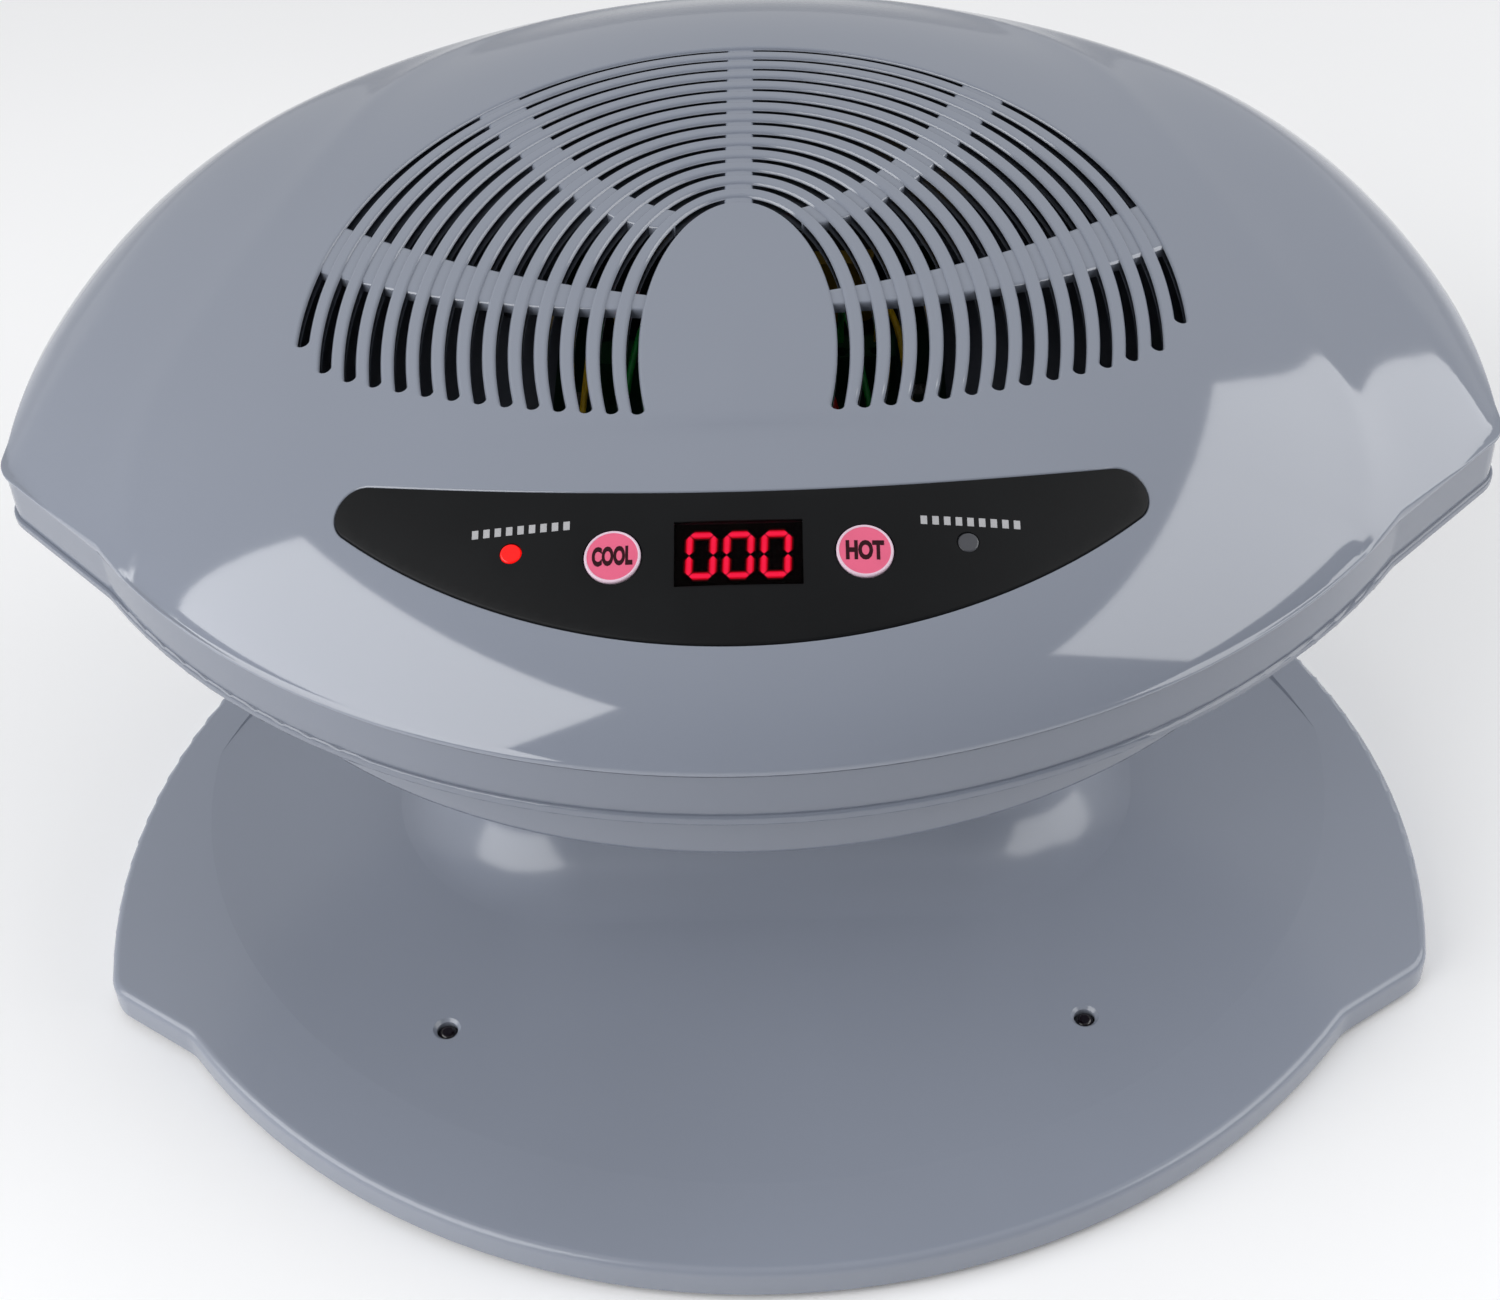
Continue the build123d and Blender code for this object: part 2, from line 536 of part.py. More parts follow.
with BuildPart() as lower_housing:
    with BuildSketch(Plane.XY.offset(BAND_LOW)):
        add(lens_plan(HOOD, BEAD_INSET))
    extrude(amount=BEAD_HEIGHT)
    fillet(lower_housing.faces().filter_by(Axis.Z).edges(), BEAD_ROUND)
    with BuildSketch(Plane.XY.offset(BAND_LOW + BEAD_HEIGHT / 2)):
        add(lens_plan(HOOD, BAND_INSET))
    extrude(amount=BAND_HIGH - BAND_LOW - BEAD_HEIGHT / 2)
    loft(sections=pan_outer)
    fillet(lower_housing.faces().sort_by(Axis.Z)[0].edges(), 2.0)
    with BuildSketch(Plane.XY.offset(band_floor)):
        add(lens_plan(HOOD, BAND_INSET + WALL))
    extrude(amount=BAND_HIGH, mode=Mode.SUBTRACT)
    add(pan_cavity.part, mode=Mode.SUBTRACT)
    add(locating_lip.part)
    with BuildSketch(Plane.XY.offset(pan_floor)):
        with Locations(*FAN_POSTS):
            Circle(3.6)
    extrude(amount=FAN_LOW - pan_floor)
    with BuildSketch(Plane.XY.offset(pan_floor)):
        with Locations(*BOARD_POSTS):
            Circle(3.6)
        with Locations(*both_sides(COLUMN_SCREWS)):
            Circle(4.5)
    extrude(amount=BOARD_Z - pan_floor)
    with BuildSketch(Plane.XY.offset(band_floor)):
        with Locations(*both_sides(HOOD_SCREWS)):
            Circle(5.0)
    extrude(amount=BOSS_UP)
    with BuildSketch(Plane.XY.offset(BAND_LOW)):
        with Locations(*both_sides(HOOD_SCREWS)):
            Circle(3.6)
    extrude(amount=SCREW_SINK, mode=Mode.SUBTRACT)
    with BuildSketch(Plane.XY.offset(BAND_LOW)):
        with Locations(*both_sides(HOOD_SCREWS)):
            Circle(1.7)
    extrude(amount=WALL + BOSS_UP, mode=Mode.SUBTRACT)
    with BuildSketch(Plane.XY.offset(PAN_Z)):
        with Locations(*outlet_centres):
            Circle(OUTLET_R + 1.5)
        with Locations((0, WIRE_HOLE_Y)):
            Circle(WIRE_HOLE_R)
    extrude(amount=WALL, mode=Mode.SUBTRACT)
    with BuildSketch(Plane.XY.offset(PAN_Z)):
        with Locations(*both_sides(COLUMN_SCREWS)):
            Circle(1.6)
    extrude(amount=8.0, mode=Mode.SUBTRACT)
    with BuildSketch(Plane.XY.offset(BOARD_Z - 5)):
        with Locations(*BOARD_POSTS):
            Circle(1.2)
    extrude(amount=5, mode=Mode.SUBTRACT)
    with BuildSketch(Plane.XY.offset(FAN_LOW - 8)):
        with Locations(*FAN_POSTS):
            Circle(1.6)
    extrude(amount=8, mode=Mode.SUBTRACT)
save(lower_housing.part, "lower_housing")


def screws(points, plane_z, head_r, head_h, shank_r, shank_h):
    """Screws with their heads below plane_z and their shanks above it; negative heights turn them over."""
    with BuildPart(mode=Mode.PRIVATE) as group:
        with BuildSketch(Plane.XY.offset(plane_z)):
            with Locations(*points):
                Circle(head_r)
        extrude(amount=-head_h)
        with BuildSketch(Plane.XY.offset(plane_z)):
            with Locations(*points):
                Circle(shank_r)
        extrude(amount=shank_h)
        with BuildSketch(Plane.XY.offset(plane_z - head_h)):
            with Locations(*points):
                Rectangle(head_r * 1.1, 0.5)
                Rectangle(0.5, head_r * 1.1)
        extrude(amount=head_h * 0.45, mode=Mode.SUBTRACT)
    return group.part


save(screws(both_sides(HOOD_SCREWS), BAND_LOW + SCREW_SINK, 3.2, 2.1, 1.45, 11.0), "hood_screws")
save(screws(both_sides(COLUMN_SCREWS), COLUMN_TOP - 3.0, 3.4, 2.2, 1.6, 10.5), "column_screws")
save(screws(BOARD_POSTS, BOARD_Z + BOARD_THICK, 2.6, -1.8, 1.2, -5.5), "power_board_screws")
save(screws(FAN_POSTS, FAN_LOW + FAN_HEIGHT, 3.4, -2.2, 1.6, -(FAN_HEIGHT + 7.0)), "fan_screws")


# ---------------------------------------------------------------- outlets, ducts and heaters
def outlet_grille(side):
    """Round grille that drops into the pan from above: rings, six spokes and a flange."""
    centre = (side * FAN_X, FAN_Y)
    with BuildPart(mode=Mode.PRIVATE) as grille:
        with BuildSketch(Plane.XY.offset(PAN_Z + GRILLE_RECESS)):
            with Locations(centre):
                Circle(OUTLET_R + 1.3)
                Circle(OUTLET_R - 1.2, mode=Mode.SUBTRACT)
                for radius in GRILLE_RINGS:
                    Circle(radius + GRILLE_BAR / 2)
                    Circle(radius - GRILLE_BAR / 2, mode=Mode.SUBTRACT)
                for angle in (0, 60, 120):
                    Rectangle(2 * OUTLET_R, GRILLE_BAR, rotation=angle)
        extrude(amount=WALL - GRILLE_RECESS)
        with BuildSketch(Plane.XY.offset(pan_floor)):
            with Locations(centre):
                Circle(DUCT_R)
                Circle(OUTLET_R - 1.2, mode=Mode.SUBTRACT)
        extrude(amount=1.4)
    return grille.part


DUCT_LOW = pan_floor + 1.4
DUCT_HIGH = FAN_LOW - 0.2
MICA_THICK, MICA_LOW, MICA_HIGH = 0.8, DUCT_LOW + 0.4, DUCT_HIGH - 0.6
COIL_Z = (MICA_LOW + MICA_HIGH) / 2


def air_duct(side):
    with BuildPart(mode=Mode.PRIVATE) as duct:
        with BuildSketch(Plane.XY.offset(DUCT_LOW)):
            with Locations((side * FAN_X, FAN_Y)):
                Circle(DUCT_R)
                Circle(DUCT_R - 1.6, mode=Mode.SUBTRACT)
        extrude(amount=DUCT_HIGH - DUCT_LOW)
    return duct.part


def coil_rings(side, wire_r):
    with BuildPart(mode=Mode.PRIVATE) as rings:
        with BuildSketch(Plane.XZ.offset(-FAN_Y)):
            for radius in COIL_RADII:
                with Locations((side * FAN_X + radius, COIL_Z)):
                    Circle(wire_r)
        revolve(axis=Axis((side * FAN_X, FAN_Y, 0), (0, 0, 1)))
    return rings.part


def heater_frame(side):
    """Two crossed mica cards, notched for the heating coils."""
    notches = coil_rings(side, COIL_R + 0.15)
    with BuildPart(mode=Mode.PRIVATE) as cards:
        with BuildSketch(Plane.XY.offset(MICA_LOW)):
            with Locations((side * FAN_X, FAN_Y)):
                Rectangle(2 * (DUCT_R - 1.9), MICA_THICK, rotation=45)
                Rectangle(2 * (DUCT_R - 1.9), MICA_THICK, rotation=-45)
        extrude(amount=MICA_HIGH - MICA_LOW)
        add(notches, mode=Mode.SUBTRACT)
    return cards.part


def thermal_cutoff(side):
    """Flat thermal cut-off clipped to the outside of the duct, at its rear."""
    with BuildPart(mode=Mode.PRIVATE) as cutoff:
        with BuildSketch(Plane.XY.offset(DUCT_LOW + 3)):
            with Locations((side * FAN_X, FAN_Y + DUCT_R + 2.2)):
                RectangleRounded(15.0, 4.0, 1.0)
        extrude(amount=6.0)
    return cutoff.part


# ---------------------------------------------------------------- fans
STRUT_H, TUBE_R, TUBE_TOP = 3.0, 4.2, 17.0


def fan_frame(side):
    """Square fan housing with its bore, corner holes, motor plate, struts and bearing tube."""
    centre = (side * FAN_X, FAN_Y)
    with BuildPart(mode=Mode.PRIVATE) as frame:
        with BuildSketch(Plane.XY.offset(FAN_LOW)):
            with Locations(centre):
                RectangleRounded(FAN_SIZE, FAN_SIZE, 5.0)
                Circle(FAN_BORE_R, mode=Mode.SUBTRACT)
        extrude(amount=FAN_HEIGHT)
        with BuildSketch(Plane.XY.offset(FAN_LOW)):
            with Locations(centre):
                Circle(HUB_R)
                Rectangle(2 * FAN_BORE_R + 2, 4.0, rotation=20)
                Rectangle(4.0, 2 * FAN_BORE_R + 2, rotation=20)
        extrude(amount=STRUT_H)
        with BuildSketch(Plane.XY.offset(FAN_LOW + STRUT_H)):
            with Locations(centre):
                Circle(TUBE_R)
        extrude(amount=TUBE_TOP - STRUT_H)
        with BuildSketch(Plane.XY.offset(FAN_LOW + 1)):
            with Locations(centre):
                Circle(SHAFT_R + SHAFT_CLEARANCE)
        extrude(amount=FAN_HEIGHT, mode=Mode.SUBTRACT)
        with BuildSketch(Plane.XY.offset(FAN_LOW)):
            with Locations(*[p for p in FAN_POSTS if p[0] * side > 0]):
                Circle(2.15)
        extrude(amount=FAN_HEIGHT, mode=Mode.SUBTRACT)
    return frame.part


def fan_stator(side):
    """Four wound poles pressed on the bearing tube, inside the rotor cup."""
    with BuildPart(mode=Mode.PRIVATE) as stator:
        with BuildSketch(Plane.XY.offset(FAN_LOW + STRUT_H + 1.5)):
            with Locations((side * FAN_X, FAN_Y)):
                Circle(7.0)
                Rectangle(24.0, 6.0)
                Rectangle(6.0, 24.0)
                Circle(TUBE_R, mode=Mode.SUBTRACT)
        extrude(amount=9.0)
    return stator.part


ROTOR_LOW = STRUT_H + 1.2
BLADE_CHORD, BLADE_THICK, BLADE_PITCH = 20.0, 1.5, 52.0


def fan_rotor(side):
    """Rotor cup with its shaft and blades."""
    centre = (side * FAN_X, FAN_Y)
    top = FAN_LOW + ROTOR_LOW + HUB_HEIGHT
    with BuildPart(mode=Mode.PRIVATE) as blade:
        with BuildSketch(Plane.YZ.offset(HUB_R - 1.0)):
            with Locations((0, (ROTOR_LOW + HUB_HEIGHT / 2 + FAN_LOW))):
                Rectangle(BLADE_THICK, BLADE_CHORD, rotation=BLADE_PITCH)
        extrude(amount=ROTOR_R)
        with BuildSketch(Plane.XY.offset(FAN_LOW)):
            Circle(ROTOR_R)
        extrude(amount=FAN_HEIGHT, mode=Mode.INTERSECT)
    with BuildPart(mode=Mode.PRIVATE) as rotor:
        with PolarLocations(0, BLADES):
            add(blade.part)
        with BuildSketch(Plane.XY.offset(FAN_LOW + ROTOR_LOW)):
            Circle(HUB_R)
        extrude(amount=HUB_HEIGHT)
        fillet(rotor.edges().filter_by(GeomType.CIRCLE).group_by(Axis.Z)[-1], 1.2)
        with BuildSketch(Plane.XY.offset(FAN_LOW + ROTOR_LOW)):
            Circle(HUB_R - 1.6)
        extrude(amount=HUB_HEIGHT - 1.8, mode=Mode.SUBTRACT)
        with BuildSketch(Plane.XY.offset(top - 1.8)):
            Circle(SHAFT_R)
        extrude(amount=-(top - 1.8 - FAN_LOW - 1.6))
    return Pos(centre[0], centre[1], 0) * rotor.part


for name, side in (("left", -1), ("right", 1)):
    save(outlet_grille(side), f"outlet_grille_{name}")
    save(air_duct(side), f"air_duct_{name}")
    save(heater_frame(side), f"heater_frame_{name}")
    save(coil_rings(side, COIL_R), f"heater_coil_{name}")
    save(thermal_cutoff(side), f"thermal_cutoff_{name}")
    save(fan_frame(side), f"fan_frame_{name}")
    save(fan_stator(side), f"fan_stator_{name}")
    save(fan_rotor(side), f"fan_rotor_{name}")

# ---------------------------------------------------------------- power board and what it carries
BOARD_TOP = BOARD_Z + BOARD_THICK
with BuildPart() as power_board:
    with BuildSketch(Plane.XY.offset(BOARD_Z)):
        with Locations((0, BOARD_Y)):
            RectangleRounded(BOARD_W, BOARD_D, 3.0)
        with Locations(*BOARD_POSTS):
            Circle(1.5, mode=Mode.SUBTRACT)
    extrude(amount=BOARD_THICK)
save(power_board.part, "power_board")

CORE_W, CORE_D, CORE_H = 42.0, 18.0, 34.0
TRANSFORMER = (22.0, 66.0)
with BuildPart() as transformer_core:
    with BuildSketch(Plane.XY.offset(BOARD_TOP)):
        with Locations(TRANSFORMER):
            Rectangle(CORE_W, CORE_D)
    extrude(amount=CORE_H)
    with BuildSketch(Plane.XZ.offset(-TRANSFORMER[1] - CORE_D)):
        with Locations(
            (TRANSFORMER[0] - 10.5, BOARD_TOP + CORE_H / 2),
            (TRANSFORMER[0] + 10.5, BOARD_TOP + CORE_H / 2),
        ):
            Rectangle(7.4, 20.4)
    extrude(amount=2 * CORE_D, mode=Mode.SUBTRACT)
save(transformer_core.part, "transformer_core")

with BuildPart() as transformer_coil:
    with BuildSketch(Plane.XY.offset(BOARD_TOP + 7.0)):
        with Locations(TRANSFORMER):
            RectangleRounded(27.6, 31.0, 4.0)
            Rectangle(13.8, CORE_D + 0.2, mode=Mode.SUBTRACT)
    extrude(amount=20.0)
save(transformer_coil.part, "transformer_coil")

with BuildPart() as relays:
    with BuildSketch(Plane.XY.offset(BOARD_TOP)):
        with Locations((-34.0, 62.0), (-34.0, 82.0)):
            RectangleRounded(19.0, 15.5, 0.8)
    extrude(amount=15.2)
    fillet(relays.faces().sort_by(Axis.Z)[-2:].edges(), 0.6)
save(relays.part, "relays")

with BuildPart() as capacitors:
    with BuildSketch(Plane.XY.offset(BOARD_TOP)):
        with Locations((-12.0, 48.0), (-12.0, 62.0), (-12.0, 76.0)):
            Circle(5.0)
    extrude(amount=16.0)
    fillet(capacitors.faces().sort_by(Axis.Z)[-3:].edges(), 0.8)
save(capacitors.part, "capacitors")

TERMINAL_Y, TERMINAL_H = 32.0, 12.0
TERMINAL_X = (-36.0, -26.0, -16.0, 16.0, 26.0, 36.0)
with BuildPart() as terminal_block:
    with BuildSketch(Plane.XY.offset(BOARD_TOP)):
        with Locations((-26.0, TERMINAL_Y), (26.0, TERMINAL_Y)):
            Rectangle(30.0, 10.0)
    extrude(amount=TERMINAL_H)
    with BuildSketch(Plane.XY.offset(BOARD_TOP + TERMINAL_H)):
        with Locations(*[(x, TERMINAL_Y - 2.4) for x in TERMINAL_X]):
            Circle(1.9)
    extrude(amount=-3.0, mode=Mode.SUBTRACT)
save(terminal_block.part, "terminal_block")

# ---------------------------------------------------------------- wiring
WIRE_R = 0.9


def wire(points, radius=WIRE_R):
    """Insulated wire along straight runs joined by arcs as large as the runs allow."""
    corners = [Vector(*p) for p in points]
    bends = []
    for before, here, after in zip(corners, corners[1:], corners[2:]):
        turn = radians((here - before).get_angle(after - here))
        shorter = min((here - before).length, (after - here).length)
        bends.append(0.45 * shorter / tan(turn / 2))
    with BuildPart(mode=Mode.PRIVATE) as tube:
        with BuildLine() as route:
            FilletPolyline(*corners, radius=bends)
        with BuildSketch(Plane(origin=corners[0], z_dir=corners[1] - corners[0])):
            Circle(radius)
        sweep()
    return tube.part


terminal_top = BOARD_TOP + TERMINAL_H
fan_back = FAN_Y + FAN_SIZE / 2


def fan_wire(side, start_x, end_x, end_z, lift, sway):
    """From a terminal up, forwards over the gap, and into the back of a fan."""
    high = terminal_top + lift
    return wire(
        [
            (side * start_x, TERMINAL_Y + 2.4, terminal_top),
            (side * start_x, TERMINAL_Y + 2.4, high),
            (side * (start_x + sway), TERMINAL_Y - 18.0, high + 5),
            (side * end_x, fan_back + 16.0, end_z),
            (side * end_x, fan_back, end_z),
        ]
    )


def wire_pair(start_x, end_x, end_z, lift, sway):
    with BuildPart(mode=Mode.PRIVATE) as pair:
        add(fan_wire(-1, start_x, end_x, end_z, lift, sway))
        add(fan_wire(1, start_x, end_x, end_z, lift, sway))
    return pair.part


save(wire_pair(16.0, 24.0, 164.0, 17.0, -3.0), "red_wires")
save(wire_pair(26.0, 33.0, 162.0, 13.0, 3.0), "green_wires")
save(wire_pair(36.0, 44.0, 160.0, 16.0, 5.0), "yellow_wires")

# ---------------------------------------------------------------- base and column
COLUMN_Y = (COLUMN_FRONT + COLUMN_REAR) / 2
COLUMN_D = COLUMN_REAR - COLUMN_FRONT


def dish_plan(share):
    """Section of the shallow dish: share 1 is its level floor and 0 its edge, the rise growing as a parabola."""
    a, b, y, rear_r = (DISH_EDGE[k] + (DISH_FLOOR[k] - DISH_EDGE[k]) * share for k in ("a", "b", "y", "rear_r"))
    z = DISH_Z + (RIM_HIGH - DISH_Z) * (1 - share) ** 2
    with BuildSketch(Plane.XY.offset(z), mode=Mode.PRIVATE) as plan:
        with Locations((0, y)):
            Ellipse(b, a, rotation=90)
        with Locations((0, BASE["rear_y"])):
            Circle(rear_r, mode=Mode.INTERSECT)
    return plan.sketch


def column_plan(z, inset):
    with BuildSketch(Plane.XY.offset(z), mode=Mode.PRIVATE) as plan:
        with Locations((0, COLUMN_Y)):
            RectangleRounded(
                2 * (COLUMN_HALF - inset), COLUMN_D - 2 * inset, COLUMN_CORNER - inset
            )
    return plan.sketch


SHELL_CEILING = DISH_Z - WALL
dish_sections = [dish_plan(share) for share in DISH_SHARES]
base_plan = lens_plan(BASE)
base_inside = lens_plan(BASE, WALL)
column_foot = column_plan(DISH_Z - 1, 0)
hollow_foot = column_plan(SHELL_CEILING - 1, COLUMN_WALL)
column_head = COLUMN_TOP - COLUMN_WALL


def at_height(z):
    """Edges that lie level at a height."""
    return lambda e: abs(e.center().Z - z) < 0.01 and e.bounding_box().size.Z < 0.01


with BuildPart() as base_hollow:
    with BuildSketch(Plane.XY.offset(RIM_LOW - 1)):
        add(base_inside)
    extrude(amount=SHELL_CEILING - RIM_LOW + 1)
    extrude(hollow_foot, amount=column_head - SHELL_CEILING + 1)
    inner_root = base_hollow.edges().filter_by(at_height(SHELL_CEILING))
    inner_root = inner_root.filter_by(lambda e: abs(e.center().X) < COLUMN_HALF and abs(e.center().Y) < 120)
    fillet(inner_root, COLUMN_FLARE + COLUMN_WALL)

SENSOR_POINTS = both_sides([(SENSOR_X, SENSOR_Y)])
SENSOR_SINK_Z, SENSOR_SINK_H = 9.9, 2.0        # countersink that opens each sensor hole
GROUND = (Align.CENTER, Align.CENTER, Align.MIN)
BASE_BOSS_R, BASE_PILOT_R = 4.5, 1.4
with BuildPart() as base_shell:
    with BuildSketch(Plane.XY.offset(RIM_LOW)):
        add(base_plan)
    extrude(amount=RIM_HIGH - RIM_LOW)
    fillet(base_shell.faces().sort_by(Axis.Z)[-1].edges(), 2.4)
    loft(sections=dish_sections, mode=Mode.SUBTRACT)
    extrude(column_foot, amount=COLUMN_TOP - DISH_Z + 1)
    root = base_shell.edges().filter_by(at_height(DISH_Z))
    root = root.filter_by(lambda e: abs(e.center().X) < COLUMN_HALF + 1 and -40 < e.center().Y < 100)
    fillet(root, COLUMN_FLARE)
    add(base_hollow.part, mode=Mode.SUBTRACT)
    with BuildSketch(Plane.XY.offset(PLATE_HIGH)):
        with Locations(*both_sides(BASE_SCREWS)):
            Circle(BASE_BOSS_R)
    extrude(amount=SHELL_CEILING - PLATE_HIGH + 0.5)
    with BuildSketch(Plane.XY.offset(PLATE_HIGH)):
        with Locations(*both_sides(BASE_SCREWS)):
            Circle(BASE_PILOT_R)
    extrude(amount=4.0, mode=Mode.SUBTRACT)
    with BuildSketch(Plane.XY.offset(SHELL_CEILING - 1)):
        with Locations(*SENSOR_POINTS):
            Circle(SENSOR_HOLE_R)
    extrude(amount=WALL + 2, mode=Mode.SUBTRACT)
    with BuildSketch(Plane.XY.offset(column_head)):
        with Locations(*both_sides(COLUMN_SCREWS)):
            Circle(1.8)
        with Locations((0, WIRE_HOLE_Y)):
            Circle(WIRE_HOLE_R)
    extrude(amount=COLUMN_WALL, mode=Mode.SUBTRACT)
    with BuildSketch(Plane.XZ.offset(-COLUMN_REAR - 1)):
        with Locations((0, INLET_Z)):
            RectangleRounded(INLET_W + 0.4, INLET_H + 0.4, 3.0)
    extrude(amount=COLUMN_WALL + 2, mode=Mode.SUBTRACT)
    with Locations(*[(x, y, SENSOR_SINK_Z) for x, y in SENSOR_POINTS]):
        Cone(SENSOR_HOLE_R, SENSOR_HOLE_R + SENSOR_SINK_H, SENSOR_SINK_H, align=GROUND, mode=Mode.SUBTRACT)
save(base_shell.part, "base_shell")

PLATE_STEP = 2.4
with BuildPart() as base_plate:
    with BuildSketch(Plane.XY.offset(PLATE_LOW)):
        add(lens_plan(BASE, 1.2))
    extrude(amount=PLATE_STEP - PLATE_LOW)
    with BuildSketch(Plane.XY.offset(PLATE_STEP)):
        add(lens_plan(BASE, WALL + GAP))
    extrude(amount=PLATE_HIGH - PLATE_STEP)
    with BuildSketch(Plane.XY.offset(PLATE_LOW)):
        with Locations(*both_sides(FEET)):
            Circle(9.2)
        with Locations(*both_sides(BASE_SCREWS)):
            Circle(3.4)
    extrude(amount=1.3, mode=Mode.SUBTRACT)
    with BuildSketch(Plane.XY.offset(PLATE_LOW)):
        with Locations(*both_sides(BASE_SCREWS)):
            Circle(1.6)
    extrude(amount=PLATE_HIGH - PLATE_LOW, mode=Mode.SUBTRACT)
save(base_plate.part, "base_plate")

with BuildPart() as rubber_feet:
    with BuildSketch():
        with Locations(*both_sides(FEET)):
            Circle(9.0)
    extrude(amount=PLATE_LOW + 1.3)
    chamfer(rubber_feet.faces().filter_by(Axis.Z).group_by(Axis.Z)[0].edges(), 0.4)
save(rubber_feet.part, "rubber_feet")

save(screws(both_sides(BASE_SCREWS), PLATE_LOW + 1.3, 3.1, 1.1, BASE_PILOT_R, 4.5), "base_screws")

SENSOR_BOARD_H = 1.2
sensor_board_top = PLATE_HIGH + SENSOR_BOARD_H
for name, side in (("left", -1), ("right", 1)):
    with BuildPart() as sensor_board:
        with BuildSketch(Plane.XY.offset(PLATE_HIGH)):
            with Locations((side * SENSOR_X, SENSOR_Y)):
                RectangleRounded(20.0, 13.0, 1.0)
        extrude(amount=SENSOR_BOARD_H)
    save(sensor_board.part, f"sensor_board_{name}")
    with BuildPart() as sensor_eye:
        with BuildSketch(Plane.XY.offset(sensor_board_top)):
            with Locations((side * SENSOR_X, SENSOR_Y)):
                Circle(SENSOR_HOLE_R - 0.3)
        extrude(amount=DISH_Z - 0.9 - sensor_board_top)
        fillet(sensor_eye.faces().sort_by(Axis.Z)[-1].edges(), 1.6)
    save(sensor_eye.part, f"sensor_eye_{name}")

LEAD_R, LEAD_Z = 0.7, 4.4
board_front = BOARD_Y - BOARD_D / 2


def sensor_lead(side):
    """Lead from a sensor board under the dish, up the column to the power board."""
    return wire(
        [
            (side * 84, SENSOR_Y + 6.5, LEAD_Z),
            (side * 84, SENSOR_Y + 18, LEAD_Z),
            (side * 58, -34, LEAD_Z),
            (side * 24, -9, LEAD_Z + 1),
            (side * 8, -8, 32),
            (side * 5, -7, 64),
            (side * 7.5, -6, 98),
            (side * 6, -4, 128),
            (side * 8.5, 6, BOARD_Z + 0.8),
            (side * 8.5, board_front, BOARD_Z + 0.8),
        ],
        radius=LEAD_R,
    )


with BuildPart() as sensor_leads:
    add(sensor_lead(-1))
    add(sensor_lead(1))
save(sensor_leads.part, "sensor_leads")

INLET_DEPTH = 18.0
with BuildPart() as mains_inlet:
    with BuildSketch(Plane.XZ.offset(-COLUMN_REAR - 1.6)):
        with Locations((0, INLET_Z)):
            RectangleRounded(INLET_W + 4.0, INLET_H + 4.0, 4.0)
    extrude(amount=1.6)
    with BuildSketch(Plane.XZ.offset(-COLUMN_REAR)):
        with Locations((0, INLET_Z)):
            RectangleRounded(INLET_W, INLET_H, 2.8)
    extrude(amount=INLET_DEPTH)
    with BuildSketch(Plane.XZ.offset(-COLUMN_REAR - 1.6)):
        with Locations((-3.8, INLET_Z), (3.8, INLET_Z)):
            Circle(4.4)
    extrude(amount=INLET_DEPTH - 2, mode=Mode.SUBTRACT)
save(mains_inlet.part, "mains_inlet")

with BuildPart() as inlet_pins:
    with BuildSketch(Plane.XZ.offset(-COLUMN_REAR + INLET_DEPTH - 3.6)):
        with Locations((-4.3, INLET_Z), (4.3, INLET_Z)):
            Circle(1.2)
    extrude(amount=-(INLET_DEPTH - 6))
save(inlet_pins.part, "inlet_pins")


def mains_lead(side):
    """Lead from the back of the inlet up the column and to a terminal block."""
    return wire(
        [
            (side * 4.3, COLUMN_REAR - INLET_DEPTH, INLET_Z),
            (side * 4.3, COLUMN_REAR - INLET_DEPTH - 12, INLET_Z),
            (side * 3.5, 40, INLET_Z + 14),
            (side * 3.2, 12, INLET_Z + 38),
            (side * 2.4, -2, INLET_Z + 66),
            (side * 2.6, -3, 134),
            (side * 14, 8, terminal_top - 5),
            (side * 14, TERMINAL_Y - 5, terminal_top - 5),
        ]
    )


with BuildPart() as mains_leads:
    add(mains_lead(-1))
    add(mains_lead(1))
save(mains_leads.part, "mains_leads")
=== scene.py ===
from math import atan2, cos, hypot, pi, radians, sin, sqrt

import bmesh
import bpy
import numpy as np
from mathutils import Matrix, Vector
from mathutils.geometry import delaunay_2d_cdt
from mathutils.kdtree import KDTree


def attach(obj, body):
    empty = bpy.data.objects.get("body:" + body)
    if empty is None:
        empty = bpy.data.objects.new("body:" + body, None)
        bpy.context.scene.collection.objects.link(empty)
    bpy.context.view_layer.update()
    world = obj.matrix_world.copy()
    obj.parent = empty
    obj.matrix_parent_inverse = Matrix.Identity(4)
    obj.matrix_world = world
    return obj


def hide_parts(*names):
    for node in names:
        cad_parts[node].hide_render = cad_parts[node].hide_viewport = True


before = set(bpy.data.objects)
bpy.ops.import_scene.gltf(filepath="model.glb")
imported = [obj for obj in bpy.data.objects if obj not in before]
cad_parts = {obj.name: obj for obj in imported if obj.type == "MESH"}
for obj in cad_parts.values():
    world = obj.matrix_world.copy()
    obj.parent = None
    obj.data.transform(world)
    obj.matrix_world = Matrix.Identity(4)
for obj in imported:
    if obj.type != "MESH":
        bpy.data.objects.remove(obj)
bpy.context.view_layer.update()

# Looks of the two-hand nail dryer. Shapes are worked out in millimetres, in the frame of the CAD model,
# and turned into metres when a mesh is made.
MM = 0.001
HOUSING = "housing"

# ---------------------------------------------------------------- dimensions shared with the CAD model
WALL = 2.6
SEAM_Z = 163.0
HOOD = dict(front_r=201.0, front_y=59.0, rear_r=195.5, rear_y=-21.5, notch_x=163.0, wing=45.0)
TIP_R, NOTCH_R = 12.0, 14.0
WING_STEPS = 8

